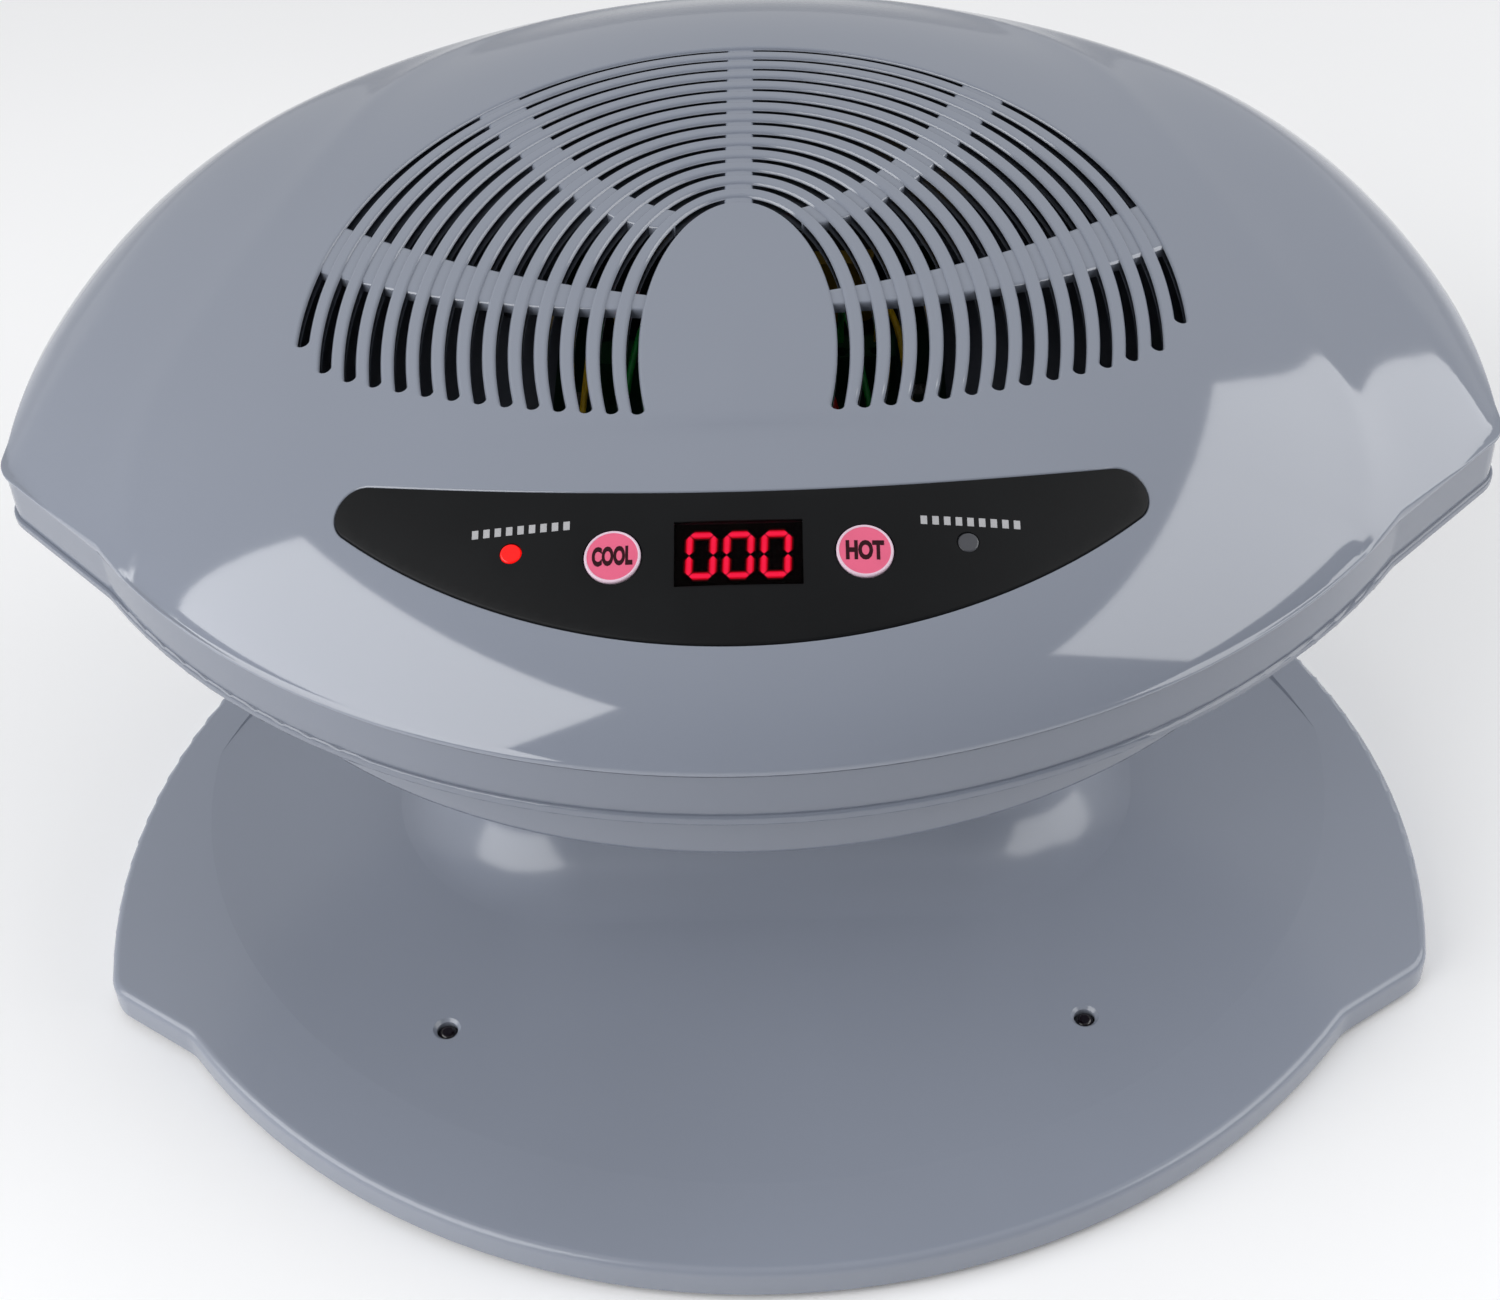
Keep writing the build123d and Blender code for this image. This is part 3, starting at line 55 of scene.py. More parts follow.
CROWN_Z = 153.2
DOME_RISE, DOME_FRONT_R, DOME_FRONT_POWER = 65.8, 203.4, 0.457
DOME_A, DOME_B, DOME_Y, DOME_EXPONENT, DOME_POWER = 188.7, 174.8, -12.0, 5.34, 0.327
WING_RISE, WING_SLOPE_LENGTH, WING_MARGIN, WING_POWER = 55.4, 148.0, 8.0, 0.6
WING_A, WING_B, WING_Y, WING_EXPONENT, WING_SIDE_POWER = 202.1, 199.2, -24.2, 6.42, 0.422
WING_START_Y, WING_FADE = -104.0, 40.0
WING_LINE = 222.0
CREASE_SOFTNESS = 0.5
TIP_RISE = 11.2
# the two folds of the moulding: one where dome and wings meet, one along the wings' outer shoulder
FOLD_RISE, FOLD_WIDTH, FOLD_MEETING_SLOPE = 2.3, 9.0, 0.17
FOLD_FRONT_Y, FOLD_FADE, FOLD_ROUND = -82.0, 34.0, 3.6
SHOULDER_RISE, SHOULDER_WIDTH, SHOULDER_AT = 1.6, 8.0, 0.865
SHOULDER_TURN_Y, SHOULDER_TURN = 10.0, 0.0025

SLOTS, SLOT_WIDTH = 14, 3.0
SLOT_REAR_NARROWING = 0.5
SLOT_OUTER = dict(a=109.5, b=110.2, y=-24.5)
SLOT_INNER = dict(a=25.6, b=53.4, y=-42.0)
GRILLE_LOW_R, GRILLE_LOW_Y, GRILLE_CORNER_R = 206.0, 141.0, 26.0
SPOKE_DEPTH, SPOKE_THICK = 0.7, 2.8
CENTRE_SPOKE_WIDTH, CENTRE_SPOKE_LOW, CENTRE_SPOKE_HIGH = 7.2, 0.0, 90.0
# the rear and the front edge of each other spoke, through three points from the tongue outwards
SIDE_SPOKE = (((22.8, -23.5), (65.2, -7.7), (102.0, 16.9)), ((24.0, -28.7), (68.6, -19.4), (105.9, -0.2)))
REAR_SPOKE = (((19.0, 9.5), (41.5, 30.8), (60.9, 69.6)), ((18.8, 1.4), (43.9, 18.6), (72.6, 64.0)))
SPOKE_OVERRUN = 0.06

PANEL_Y = -101.2
PANEL_LOW_R, PANEL_LOW_Y = 140.4, 19.0
PANEL_HIGH_R, PANEL_HIGH_Y = 330.0, 244.0
PANEL_NOSE_R = 6.5
PANEL_END_X, PANEL_END_Y = 94.0, -76.0
FILM_DEPTH, FILM_PROUD, FILM_GAP = 0.6, 0.15, 0.15
BUTTON_X, BUTTON_R, BUTTON_HOLE_R = 29.0, 6.6, 6.95
LED_X, LED_UP, LED_HOLE_R = 52.8, 2.8, 2.65
WINDOW_W, WINDOW_H = 29.4, 16.4
CAP_LOW, FLANGE_LOW, STEM_LOW = 4.6, 5.8, 6.6
DISPLAY_DEPTH = 1.6
SKIN_PASSES = 6
BISECTIONS = 40


# ---------------------------------------------------------------- the crown formula
def eased_power(value, power, start=0.02):
    """A power that runs on as a straight line below start, so that its slope stays finite."""
    edge = start**power
    line = np.maximum(edge + power * edge / start * (value - start), -0.12)
    return np.where(value >= start, np.maximum(value, start) ** power, line)


def smooth_step(value):
    """Eases from 0 to 1."""
    value = np.clip(value, 0.0, 1.0)
    return value * value * (3 - 2 * value)


def crown_height(x, y):
    """Height of the hood's outer skin at points of the plan; takes numbers or arrays."""
    x, y = np.asarray(x, float), np.asarray(y, float)
    front = np.hypot(x, y - HOOD["front_y"]) / DOME_FRONT_R
    side = np.hypot(x / DOME_A, (y - DOME_Y) / DOME_B)
    dome = DOME_RISE * eased_power(1 - front**2, DOME_FRONT_POWER)
    dome = dome * eased_power(1 - side**DOME_EXPONENT, DOME_POWER)
    wing_line = (WING_LINE - np.abs(x) + y) / sqrt(2) + WING_MARGIN
    slope = np.maximum(1 - wing_line / WING_SLOPE_LENGTH, 0.0)
    rear = np.hypot(x / WING_A, (y - WING_Y) / WING_B)
    wing = WING_RISE * eased_power(1 - slope**2, WING_POWER)
    wing = wing * eased_power(1 - rear**WING_EXPONENT, WING_SIDE_POWER)
    wing = wing * smooth_step((y - WING_START_Y) / WING_FADE)
    higher, lower = np.maximum(dome, wing), np.minimum(dome, wing)
    blend = CREASE_SOFTNESS * np.log1p(np.exp((lower - higher) / CREASE_SOFTNESS))
    off_fold = np.hypot((higher - lower) / FOLD_MEETING_SLOPE, FOLD_ROUND)
    shoulder = SHOULDER_AT + SHOULDER_TURN * np.maximum(SHOULDER_TURN_Y - y, 0.0)
    off_shoulder = np.hypot((rear - shoulder) * WING_A, FOLD_ROUND)
    folds = FOLD_RISE * np.exp(-off_fold / FOLD_WIDTH)
    folds = folds + SHOULDER_RISE * np.exp(-off_shoulder / SHOULDER_WIDTH)
    folds = folds * smooth_step((y - FOLD_FRONT_Y) / FOLD_FADE)
    return CROWN_Z + np.maximum(higher + blend + folds, TIP_RISE)


def crown_normals(x, y, step=0.4):
    """Directions out of the crown, from its slopes over a small step."""
    rise_x = (crown_height(x + step, y) - crown_height(x - step, y)) / (2 * step)
    rise_y = (crown_height(x, y + step) - crown_height(x, y - step)) / (2 * step)
    normals = np.stack([-rise_x, -rise_y, np.ones_like(rise_x)], axis=-1)
    return normals / np.linalg.norm(normals, axis=-1, keepdims=True)


PANEL_ORIGIN = Vector((0, PANEL_Y, float(crown_height(0, PANEL_Y))))
PANEL_OUT = Vector(crown_normals(0.0, PANEL_Y))
PANEL_RIGHT = Vector((1, 0, 0))
PANEL_UP = PANEL_OUT.cross(PANEL_RIGHT)


def panel_point(x, up, out=0.0):
    """A point given along the panel's own axes: right, up the slope, and out of the skin."""
    return PANEL_ORIGIN + x * PANEL_RIGHT + up * PANEL_UP + out * PANEL_OUT


def skin_height(x, up):
    """How far out of the panel plane the skin lies at a place on the panel."""
    out = 0.0
    for _ in range(SKIN_PASSES):
        here = panel_point(x, up, out)
        out += (float(crown_height(here.x, here.y)) - here.z) * PANEL_OUT.z
    return out


# ---------------------------------------------------------------- outlines in the plan
def line_circle(centre_y, radius, start, along, sign):
    """Where a line from start meets a circle about (0, centre_y)."""
    px, py = start[0], start[1] - centre_y
    reach = px * along[0] + py * along[1]
    travel = -reach + sign * sqrt(reach**2 - (px**2 + py**2 - radius**2))
    return (start[0] + travel * along[0], start[1] + travel * along[1])


def lens_ring(shape, inset, step=2.2):
    """The hood outline moved inwards; every inset up to TIP_R gives the same number of points."""
    angle = radians(shape["wing"])
    along, inward = (cos(angle), sin(angle)), (-sin(angle), cos(angle))
    notch_y = shape["front_y"] - sqrt(shape["front_r"] ** 2 - shape["notch_x"] ** 2)
    corner = (shape["notch_x"], notch_y)
    tip_base = (corner[0] + TIP_R * inward[0], corner[1] + TIP_R * inward[1])
    tip = line_circle(shape["rear_y"], shape["rear_r"] - TIP_R, tip_base, along, 1)
    notch_base = (corner[0] - NOTCH_R * inward[0], corner[1] - NOTCH_R * inward[1])
    notch_reach = shape["front_r"] + NOTCH_R
    meetings = [line_circle(shape["front_y"], notch_reach, notch_base, along, sign) for sign in (1, -1)]
    notch = min(meetings, key=lambda point: abs(point[0] - corner[0]))
    wing_out = atan2(-inward[1], -inward[0])
    to_notch = atan2(notch[1] - shape["front_y"], notch[0])
    to_tip = atan2(tip[1] - shape["rear_y"], tip[0])
    front_centre, rear_centre = (0, shape["front_y"]), (0, shape["rear_y"])
    right = []
    # every arc's count comes from its full radius, so that all insets match
    right += ring_arc(front_centre, shape["front_r"], -inset, -pi / 2, to_notch, step)
    right += ring_arc(notch, NOTCH_R, inset, to_notch + pi, wing_out + pi, step / 2)
    off_notch, off_tip = NOTCH_R + inset, TIP_R - inset
    wing_start = (notch[0] - off_notch * cos(wing_out), notch[1] - off_notch * sin(wing_out))
    wing_end = (tip[0] + off_tip * cos(wing_out), tip[1] + off_tip * sin(wing_out))
    for i in range(WING_STEPS):
        share = i / WING_STEPS
        right.append(tuple(wing_start[k] + (wing_end[k] - wing_start[k]) * share for k in (0, 1)))
    right += ring_arc(tip, TIP_R, -inset, wing_out, to_tip, step / 2)
    right += ring_arc(rear_centre, shape["rear_r"], -inset, to_tip, pi / 2, step)
    top = (0.0, shape["rear_y"] + shape["rear_r"] - inset)
    left = [(-x, y) for x, y in reversed(right[1:])]
    return right + [top] + left


def ring_arc(centre, radius, change, start, end, step):
    """Points of an arc without its end; change moves it off its radius and keeps the count."""
    count = max(int(abs(end - start) * radius / step), 4)
    angles = [start + (end - start) * i / count for i in range(count)]
    return [(centre[0] + (radius + change) * cos(t), centre[1] + (radius + change) * sin(t)) for t in angles]


def panel_ring(inset, step=1.6):
    """The crescent of the control panel moved inwards."""
    low_reach, high_reach = PANEL_LOW_R - PANEL_NOSE_R, PANEL_HIGH_R + PANEL_NOSE_R
    low, high = PANEL_LOW_Y, PANEL_HIGH_Y
    nose_y = (low_reach**2 - high_reach**2 + high**2 - low**2) / (2 * (high - low))
    nose_x = sqrt(low_reach**2 - (nose_y - low) ** 2)
    low_turn = atan2(nose_y - low, nose_x)
    high_turn = atan2(nose_y - high, nose_x)
    right = ring_arc((0, low), PANEL_LOW_R, -inset, -pi / 2, low_turn, step)
    right += ring_arc((nose_x, nose_y), PANEL_NOSE_R, -inset, low_turn, high_turn + pi, step / 3)
    right += ring_arc((0, high), PANEL_HIGH_R, inset, high_turn, -pi / 2, step)
    middle = (0.0, high - PANEL_HIGH_R - inset)
    left = [(-x, y) for x, y in reversed(right[1:])]
    return right + [middle] + left


def slot_shape(index):
    """Half width, half length and centre of a slot's ellipse, from the outermost to the tongue."""
    share = index / (SLOTS - 1)
    return tuple(SLOT_OUTER[k] + (SLOT_INNER[k] - SLOT_OUTER[k]) * share for k in "aby")


def grille_low_y(x):
    """Lower edge of the slotted field: a wide arc, rounded into the outermost slot."""
    reach_low = GRILLE_LOW_R - GRILLE_CORNER_R
    reach_out = SLOT_OUTER["a"] + SLOT_WIDTH / 2 - GRILLE_CORNER_R
    low, out = GRILLE_LOW_Y, SLOT_OUTER["y"]
    corner_y = (reach_out**2 - reach_low**2 + low**2 - out**2) / (2 * (low - out))
    corner_x = sqrt(reach_out**2 - (corner_y - out) ** 2)
    wide = low - sqrt(GRILLE_LOW_R**2 - x**2)
    if abs(x) <= corner_x * GRILLE_LOW_R / reach_low:
        return wide
    return corner_y - sqrt(max(GRILLE_CORNER_R**2 - (abs(x) - corner_x) ** 2, 0.0))


def slot_turn(index):
    """Ellipse parameter where a slot's centre line ends, in radians below the side."""
    a, b, y = slot_shape(index)
    high, low = 0.0, -pi / 2
    for _ in range(BISECTIONS):
        middle = (high + low) / 2
        outside = y + b * sin(middle) < grille_low_y(a * cos(middle)) + SLOT_WIDTH / 2
        high, low = (high, middle) if outside else (middle, low)
    return high


def slot_ring(index, half_width, step=2.0):
    """Outline of a slot, or a line round it, as a closed loop with rounded ends."""
    a, b, y = slot_shape(index)
    start = slot_turn(index)
    count = int((a + b) / 2 * (pi - 2 * start) / step)
    centre, normal = [], []
    for i in range(count + 1):
        t = start + (pi - 2 * start) * i / count
        across = Vector((b * cos(t), a * sin(t))).normalized()
        centre.append((a * cos(t), y + b * sin(t)))
        normal.append(across)
    reach = [half_width - SLOT_REAR_NARROWING * max(n.y, 0.0) for n in normal]
    outer = [(c[0] + r * n.x, c[1] + r * n.y) for c, n, r in zip(centre, normal, reach)]
    inner = [(c[0] - r * n.x, c[1] - r * n.y) for c, n, r in zip(centre, normal, reach)]

    def cap(c, n, turn):
        """Half a circle that closes one end."""
        base = atan2(n.y, n.x)
        angles = [base + turn * pi * k / 8 for k in range(1, 8)]
        return [(c[0] + half_width * cos(t), c[1] + half_width * sin(t)) for t in angles]

    far_cap = cap(centre[-1], normal[-1], 1)
    near_cap = cap(centre[0], -normal[0], 1)
    return outer + far_cap + inner[::-1] + near_cap


def drop_to_skin(x, up):
    """Plan position where a line square to the panel meets the skin."""
    here = panel_point(x, up, skin_height(x, up))
    return (here.x, here.y)


def hole_ring(x, up, radius, count=40):
    """Plan outline of a round hole that is square to the panel."""
    angles = [2 * pi * i / count for i in range(count)]
    return [drop_to_skin(x + radius * cos(t), up + radius * sin(t)) for t in angles]


def window_ring(margin, step=1.5):
    """Plan outline of the display window, grown by a margin."""
    half_w, half_h = WINDOW_W / 2 + margin, WINDOW_H / 2 + margin
    corners = [(-half_w, -half_h), (half_w, -half_h), (half_w, half_h), (-half_w, half_h)]
    points = []
    for (x0, y0), (x1, y1) in zip(corners, corners[1:] + corners[:1]):
        count = int(hypot(x1 - x0, y1 - y0) / step)
        points += [(x0 + (x1 - x0) * i / count, y0 + (y1 - y0) * i / count) for i in range(count)]
    return [drop_to_skin(x, y) for x, y in points]


# ---------------------------------------------------------------- mesh making
def make_mesh(name, points, faces, sharp=40.0):
    """A smooth mesh from points in millimetres."""
    mesh = bpy.data.meshes.new(name)
    mesh.from_pydata([tuple(c * MM for c in p) for p in points], [], faces)
    mesh.validate()
    mesh.shade_smooth()
    mesh.set_sharp_from_angle(angle=radians(sharp))
    piece = bpy.data.objects.new(name, mesh)
    bpy.context.collection.objects.link(piece)
    return piece


def finish_piece(piece, material, body=HOUSING, replaces=()):
    """Gives a piece its material and its body, and hides the nodes that it replaces."""
    piece.data.materials.append(material)
    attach(piece, body)
    if replaces:
        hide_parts(*replaces)
    return piece


ROW_PITCH = 0.87


def grid_points(low, high, spacing):
    """Staggered grid over a box of the plan."""
    points = []
    rows = int((high[1] - low[1]) / (spacing * ROW_PITCH)) + 1
    for row in range(rows):
        y = low[1] + row * spacing * ROW_PITCH
        shift = spacing / 2 if row % 2 else 0.0
        columns = int((high[0] - low[0]) / spacing) + 1
        points += [(low[0] + shift + spacing * i, y) for i in range(columns)]
    return points


class Skin:
    """A sheet laid over the crown: loops and filling points in the plan, each with its drop below it."""

    def __init__(self):
        self.points, self.drops, self.labels, self.edges = [], [], [], []

    def loop(self, ring, drop, label=0):
        """Adds a closed ring of edges and returns its vertex numbers."""
        first = len(self.points)
        count = len(ring)
        self.points += ring
        self.drops += [drop] * count
        self.labels += [label] * count
        self.edges += [(first + i, first + (i + 1) % count) for i in range(count)]
        return list(range(first, first + count))

    def fill(self, candidates, keep_off):
        """Adds the points that are no closer than keep_off to any loop."""
        tree = KDTree(len(self.points))
        for i, (x, y) in enumerate(self.points):
            tree.insert((x, y, 0), i)
        tree.balance()
        for x, y, drop in candidates:
            if tree.find((x, y, 0))[2] > keep_off:
                self.points.append((x, y))
                self.drops.append(drop)
                self.labels.append(0)

    def triangles(self):
        """Faces of the sheet, leaving out those that lie wholly on one labelled loop."""
        flat = [Vector(p) for p in self.points]
        made = delaunay_2d_cdt(flat, self.edges, [], 0, 1e-6, True)
        origin = [ids[0] if ids else None for ids in made[3]]
        faces = []
        for a, b, c in made[2]:
            a, b, c = origin[a], origin[b], origin[c]
            if None in (a, b, c):
                continue
            label = self.labels[a]
            if label and label == self.labels[b] == self.labels[c]:
                continue
            (ax, ay), (bx, by), (cx, cy) = self.points[a], self.points[b], self.points[c]
            turn = (bx - ax) * (cy - ay) - (by - ay) * (cx - ax)
            faces.append((a, b, c) if turn > 0 else (a, c, b))
        return faces

    def lifted(self, extra=0.0):
        """The sheet's points in space, less any extra depth."""
        x, y = np.array(self.points).T
        z = crown_height(x, y) - np.array(self.drops) - extra
        return np.stack([x, y, z], axis=1)


def wall_between(first, second):
    """Quads between two loops of vertex numbers with the same count."""
    count = len(first)
    return [(first[i], first[(i + 1) % count], second[(i + 1) % count], second[i]) for i in range(count)]


# ---------------------------------------------------------------- materials
def srgb(red, green, blue):
    """A screen colour from 0 to 255 as the linear colour that shaders use."""
    def linear(value):
        value /= 255
        return value / 12.92 if value <= 0.04045 else ((value + 0.055) / 1.055) ** 2.4
    return (linear(red), linear(green), linear(blue), 1.0)


def shaded(colour, factor):
    """A linear colour made lighter or darker."""
    return tuple(min(c * factor, 1.0) for c in colour[:3]) + (1.0,)


ROUGH_SPREAD, GRAIN_RELIEF = 0.2, 0.0002
DRIFT_LOW, DRIFT_HIGH, DRIFT_DETAIL, GRAIN_DETAIL = 0.3, 0.7, 3.0, 2.0
MOTTLE_SCALE, MOTTLE_DIM, MOTTLE_BRIGHT = 260.0, 0.88, 1.08
HAZE_SCALE = 350.0


def moulded(name, colour, rough=0.3, vary=0.05, patch=18.0, grain=900.0, bump=0.02, specular=0.5, metal=0.0):
    """Moulded or finished surface: slow colour drift, uneven roughness and a fine grain of its own."""
    linear = srgb(*colour)
    material = bpy.data.materials.new(name)
    material.use_nodes = True
    nodes, links = material.node_tree.nodes, material.node_tree.links
    shader = nodes["Principled BSDF"]
    shader.inputs["Metallic"].default_value = metal
    shader.inputs["Specular IOR Level"].default_value = specular
    place = nodes.new("ShaderNodeTexCoord")
    drift = nodes.new("ShaderNodeTexNoise")
    drift.inputs["Scale"].default_value = patch
    drift.inputs["Detail"].default_value = DRIFT_DETAIL
    links.new(place.outputs["Object"], drift.inputs["Vector"])
    tint = nodes.new("ShaderNodeValToRGB")
    tint.color_ramp.elements[0].position = DRIFT_LOW
    tint.color_ramp.elements[1].position = DRIFT_HIGH
    tint.color_ramp.elements[0].color = shaded(linear, 1 - vary)
    tint.color_ramp.elements[1].color = shaded(linear, 1 + vary)
    links.new(drift.outputs["Fac"], tint.inputs["Fac"])
    links.new(tint.outputs["Color"], shader.inputs["Base Color"])
    spread = nodes.new("ShaderNodeMapRange")
    spread.inputs["To Min"].default_value = rough * (1 - ROUGH_SPREAD)
    spread.inputs["To Max"].default_value = rough * (1 + ROUGH_SPREAD)
    fine = nodes.new("ShaderNodeTexNoise")
    fine.inputs["Scale"].default_value = grain
    fine.inputs["Detail"].default_value = GRAIN_DETAIL
    links.new(place.outputs["Object"], fine.inputs["Vector"])
    links.new(fine.outputs["Fac"], spread.inputs["Value"])
    links.new(spread.outputs["Result"], shader.inputs["Roughness"])
    relief = nodes.new("ShaderNodeBump")
    relief.inputs["Strength"].default_value = bump
    relief.inputs["Distance"].default_value = GRAIN_RELIEF
    links.new(fine.outputs["Fac"], relief.inputs["Height"])
    links.new(relief.outputs["Normal"], shader.inputs["Normal"])
    return material


def glowing(name, colour, strength, base=(20, 2, 2)):
    """Lit plastic: an uneven glow over a dark glossy body."""
    material = moulded(name, base, rough=0.3)
    nodes, links = material.node_tree.nodes, material.node_tree.links
    shader = nodes["Principled BSDF"]
    place = next(n for n in nodes if n.type == "TEX_COORD")
    mottle = nodes.new("ShaderNodeTexNoise")
    mottle.inputs["Scale"].default_value = MOTTLE_SCALE
    links.new(place.outputs["Object"], mottle.inputs["Vector"])
    tint = nodes.new("ShaderNodeValToRGB")
    tint.color_ramp.elements[0].color = shaded(srgb(*colour), MOTTLE_DIM)
    tint.color_ramp.elements[1].color = shaded(srgb(*colour), MOTTLE_BRIGHT)
    links.new(mottle.outputs["Fac"], tint.inputs["Fac"])
    links.new(tint.outputs["Color"], shader.inputs["Emission Color"])
    shader.inputs["Emission Strength"].default_value = strength
    return material


def clear_plastic(name, colour, ior, rough=0.03):
    """See-through tinted plastic with a faint uneven haze."""
    material = bpy.data.materials.new(name)
    material.use_nodes = True
    nodes, links = material.node_tree.nodes, material.node_tree.links
    shader = nodes["Principled BSDF"]
    shader.inputs["Transmission Weight"].default_value = 1.0
    shader.inputs["IOR"].default_value = ior
    shader.inputs["Base Color"].default_value = srgb(*colour)
    place = nodes.new("ShaderNodeTexCoord")
    haze = nodes.new("ShaderNodeTexNoise")
    haze.inputs["Scale"].default_value = HAZE_SCALE
    links.new(place.outputs["Object"], haze.inputs["Vector"])
    spread = nodes.new("ShaderNodeMapRange")
    spread.inputs["To Min"].default_value = rough
    spread.inputs["To Max"].default_value = rough * 2
    links.new(haze.outputs["Fac"], spread.inputs["Value"])
    links.new(spread.outputs["Result"], shader.inputs["Roughness"])
    return material


HOOD_GREY = (131, 137, 150)
# painted light: the base shell is the hood's grey plastic made lighter, for the light on its upturned faces
BASE_LIT_GREY = (139, 145, 158)
# painted shade: the lower housing is the hood's grey plastic made darker, for the shade under the hood's rim
HOUSING_SHADED_GREY = (116, 122, 135)
hood_abs = moulded(
    "hood_abs", HOOD_GREY, rough=0.07, vary=0.02, patch=9.0, grain=450.0, bump=0.012, specular=0.85
)
base_abs = moulded(
    "base_abs", BASE_LIT_GREY, rough=0.2, vary=0.02, patch=9.0, grain=450.0, bump=0.012, specular=0.6
)
housing_abs_painted_shade = moulded(
    "housing_abs_painted_shade", HOUSING_SHADED_GREY, rough=0.12, vary=0.02, patch=9.0, grain=450.0, bump=0.012, specular=0.7
)
film_black = moulded(
    "control_film", (12, 13, 15), rough=0.5, vary=0.12, patch=60.0, grain=2500.0, bump=0.10, specular=0.18
)
button_pink = moulded(
    "button_pink", (226, 98, 132), rough=0.34, vary=0.03, patch=120.0, grain=1500.0, bump=0.03
)
button_rim = moulded(
    "button_rim", (222, 196, 212), rough=0.30, vary=0.02, patch=120.0, grain=1500.0, bump=0.03
)
letter_maroon = moulded(
    "letter_maroon", (44, 2, 14), rough=0.5, specular=0.2, vary=0.06, patch=300.0, bump=0.03
)
mark_white = moulded("mark_white", (170, 170, 173), rough=0.5, vary=0.05, patch=300.0, bump=0.05)
display_black = moulded(
    "display_black", (6, 0, 1), rough=0.6, vary=0.2, patch=200.0, bump=0.03, specular=0.05
)
window_clear = clear_plastic("smoked_window", (150, 112, 118), ior=1.1)
digit_core = glowing("digit_core", (255, 44, 90), 3.2)
digit_glow = glowing("digit_glow", (226, 6, 46), 2.4)
digit_halo = glowing("digit_halo", (110, 1, 14), 1.1)
led_lit = glowing("led_lit", (250, 6, 2), 1.0, base=(120, 3, 2))
led_unlit = moulded("led_unlit", (70, 71, 76), rough=0.18, vary=0.06, patch=200.0, bump=0.03)
switch_black = moulded("switch_black", (30, 30, 32), rough=0.5, vary=0.1)
# painted shade: the boards' green is darkened, for the shade inside the hood and the base
board_green_painted_shade = moulded(
    "board_green_painted_shade", (12, 40, 27), rough=0.35, vary=0.25, patch=240.0, grain=1200.0, bump=0.15
)
zinc = moulded("zinc_steel", (196, 196, 190), rough=0.3, vary=0.08, patch=150.0, metal=1.0, bump=0.1)
fan_black = moulded(
    "fan_black", (13, 13, 15), rough=0.55, vary=0.12, patch=70.0, grain=1500.0, bump=0.12, specular=0.25
)
winding = moulded("winding_copper", (190, 108, 62), rough=0.35, vary=0.15, patch=300.0, metal=0.9, bump=0.4)
mica = moulded("mica_sheet", (176, 158, 122), rough=0.4, vary=0.2, patch=90.0, grain=700.0, bump=0.2)
heating_wire = moulded(
    "heating_wire", (120, 114, 110), rough=0.4, vary=0.15, patch=160.0, metal=1.0, bump=0.2
)
duct_metal = moulded("duct_metal", (190, 191, 193), rough=0.35, vary=0.05, patch=60.0, metal=1.0, bump=0.1)
grille_black = moulded("grille_black", (34, 34, 37), rough=0.4, vary=0.08, patch=80.0, grain=1200.0, bump=0.1)
core_steel = moulded("core_steel", (70, 71, 75), rough=0.5, vary=0.15, patch=200.0, metal=0.7, bump=0.3)
tape_yellow = moulded("tape_yellow", (120, 98, 34), rough=0.4, vary=0.08, patch=120.0, bump=0.1)
# painted shade: relays and capacitor sleeves are darkened to near black, for the shade inside the hood
relay_painted_shade = moulded("relay_painted_shade", (20, 22, 26), rough=0.3, vary=0.05, patch=90.0, bump=0.05)
capacitor_painted_shade = moulded("capacitor_sleeve", (26, 28, 44), rough=0.3, vary=0.1, patch=120.0, bump=0.05)
terminal_green = moulded("terminal_green", (20, 62, 36), rough=0.35, vary=0.08, patch=120.0, bump=0.05)
wire_red = moulded("wire_red", (205, 26, 22), rough=0.35, vary=0.06, patch=150.0, bump=0.05)
wire_green = moulded("wire_green", (26, 158, 66), rough=0.35, vary=0.06, patch=150.0, bump=0.05)
wire_yellow = moulded("wire_yellow", (232, 190, 30), rough=0.35, vary=0.06, patch=150.0, bump=0.05)
lead_grey = moulded("lead_grey", (92, 92, 96), rough=0.4, vary=0.06, patch=150.0, bump=0.05)
plate_black = moulded("plate_black", (28, 28, 31), rough=0.5, vary=0.10, patch=40.0, grain=1400.0, bump=0.2)
foot_rubber = moulded("foot_rubber", (34, 34, 34), rough=0.8, vary=0.12, patch=120.0, grain=1800.0, bump=0.4)
sensor_dark = moulded("sensor_dark", (20, 14, 20), rough=0.12, vary=0.2, patch=200.0, bump=0.02)
inlet_black = moulded("inlet_black", (24, 24, 25), rough=0.42, vary=0.1, patch=120.0, bump=0.1)
pin_metal = moulded("pin_metal", (206, 186, 138), rough=0.25, vary=0.06, patch=200.0, metal=1.0, bump=0.05)

CAD_MATERIALS = {
    "lower_housing": housing_abs_painted_shade,
    "base_shell": base_abs,
    "display_window": window_clear,
    "display_module": display_black,
    "control_board": board_green_painted_shade,
    "control_board_screws": zinc,
    "cool_switch": switch_black,
    "hot_switch": switch_black,
    "cool_switch_plunger": switch_black,
    "hot_switch_plunger": switch_black,
    "cool_led": led_lit,
    "hot_led": led_unlit,
    "power_board": board_green_painted_shade,
    "transformer_core": core_steel,
    "transformer_coil": tape_yellow,
    "relays": relay_painted_shade,
    "capacitors": capacitor_painted_shade,
    "terminal_block": terminal_green,
    "red_wires": wire_red,
    "green_wires": wire_green,
    "yellow_wires": wire_yellow,
    "sensor_leads": lead_grey,
    "mains_leads": lead_grey,
    "base_plate": plate_black,
    "rubber_feet": foot_rubber,
    "mains_inlet": inlet_black,
    "inlet_pins": pin_metal,
}
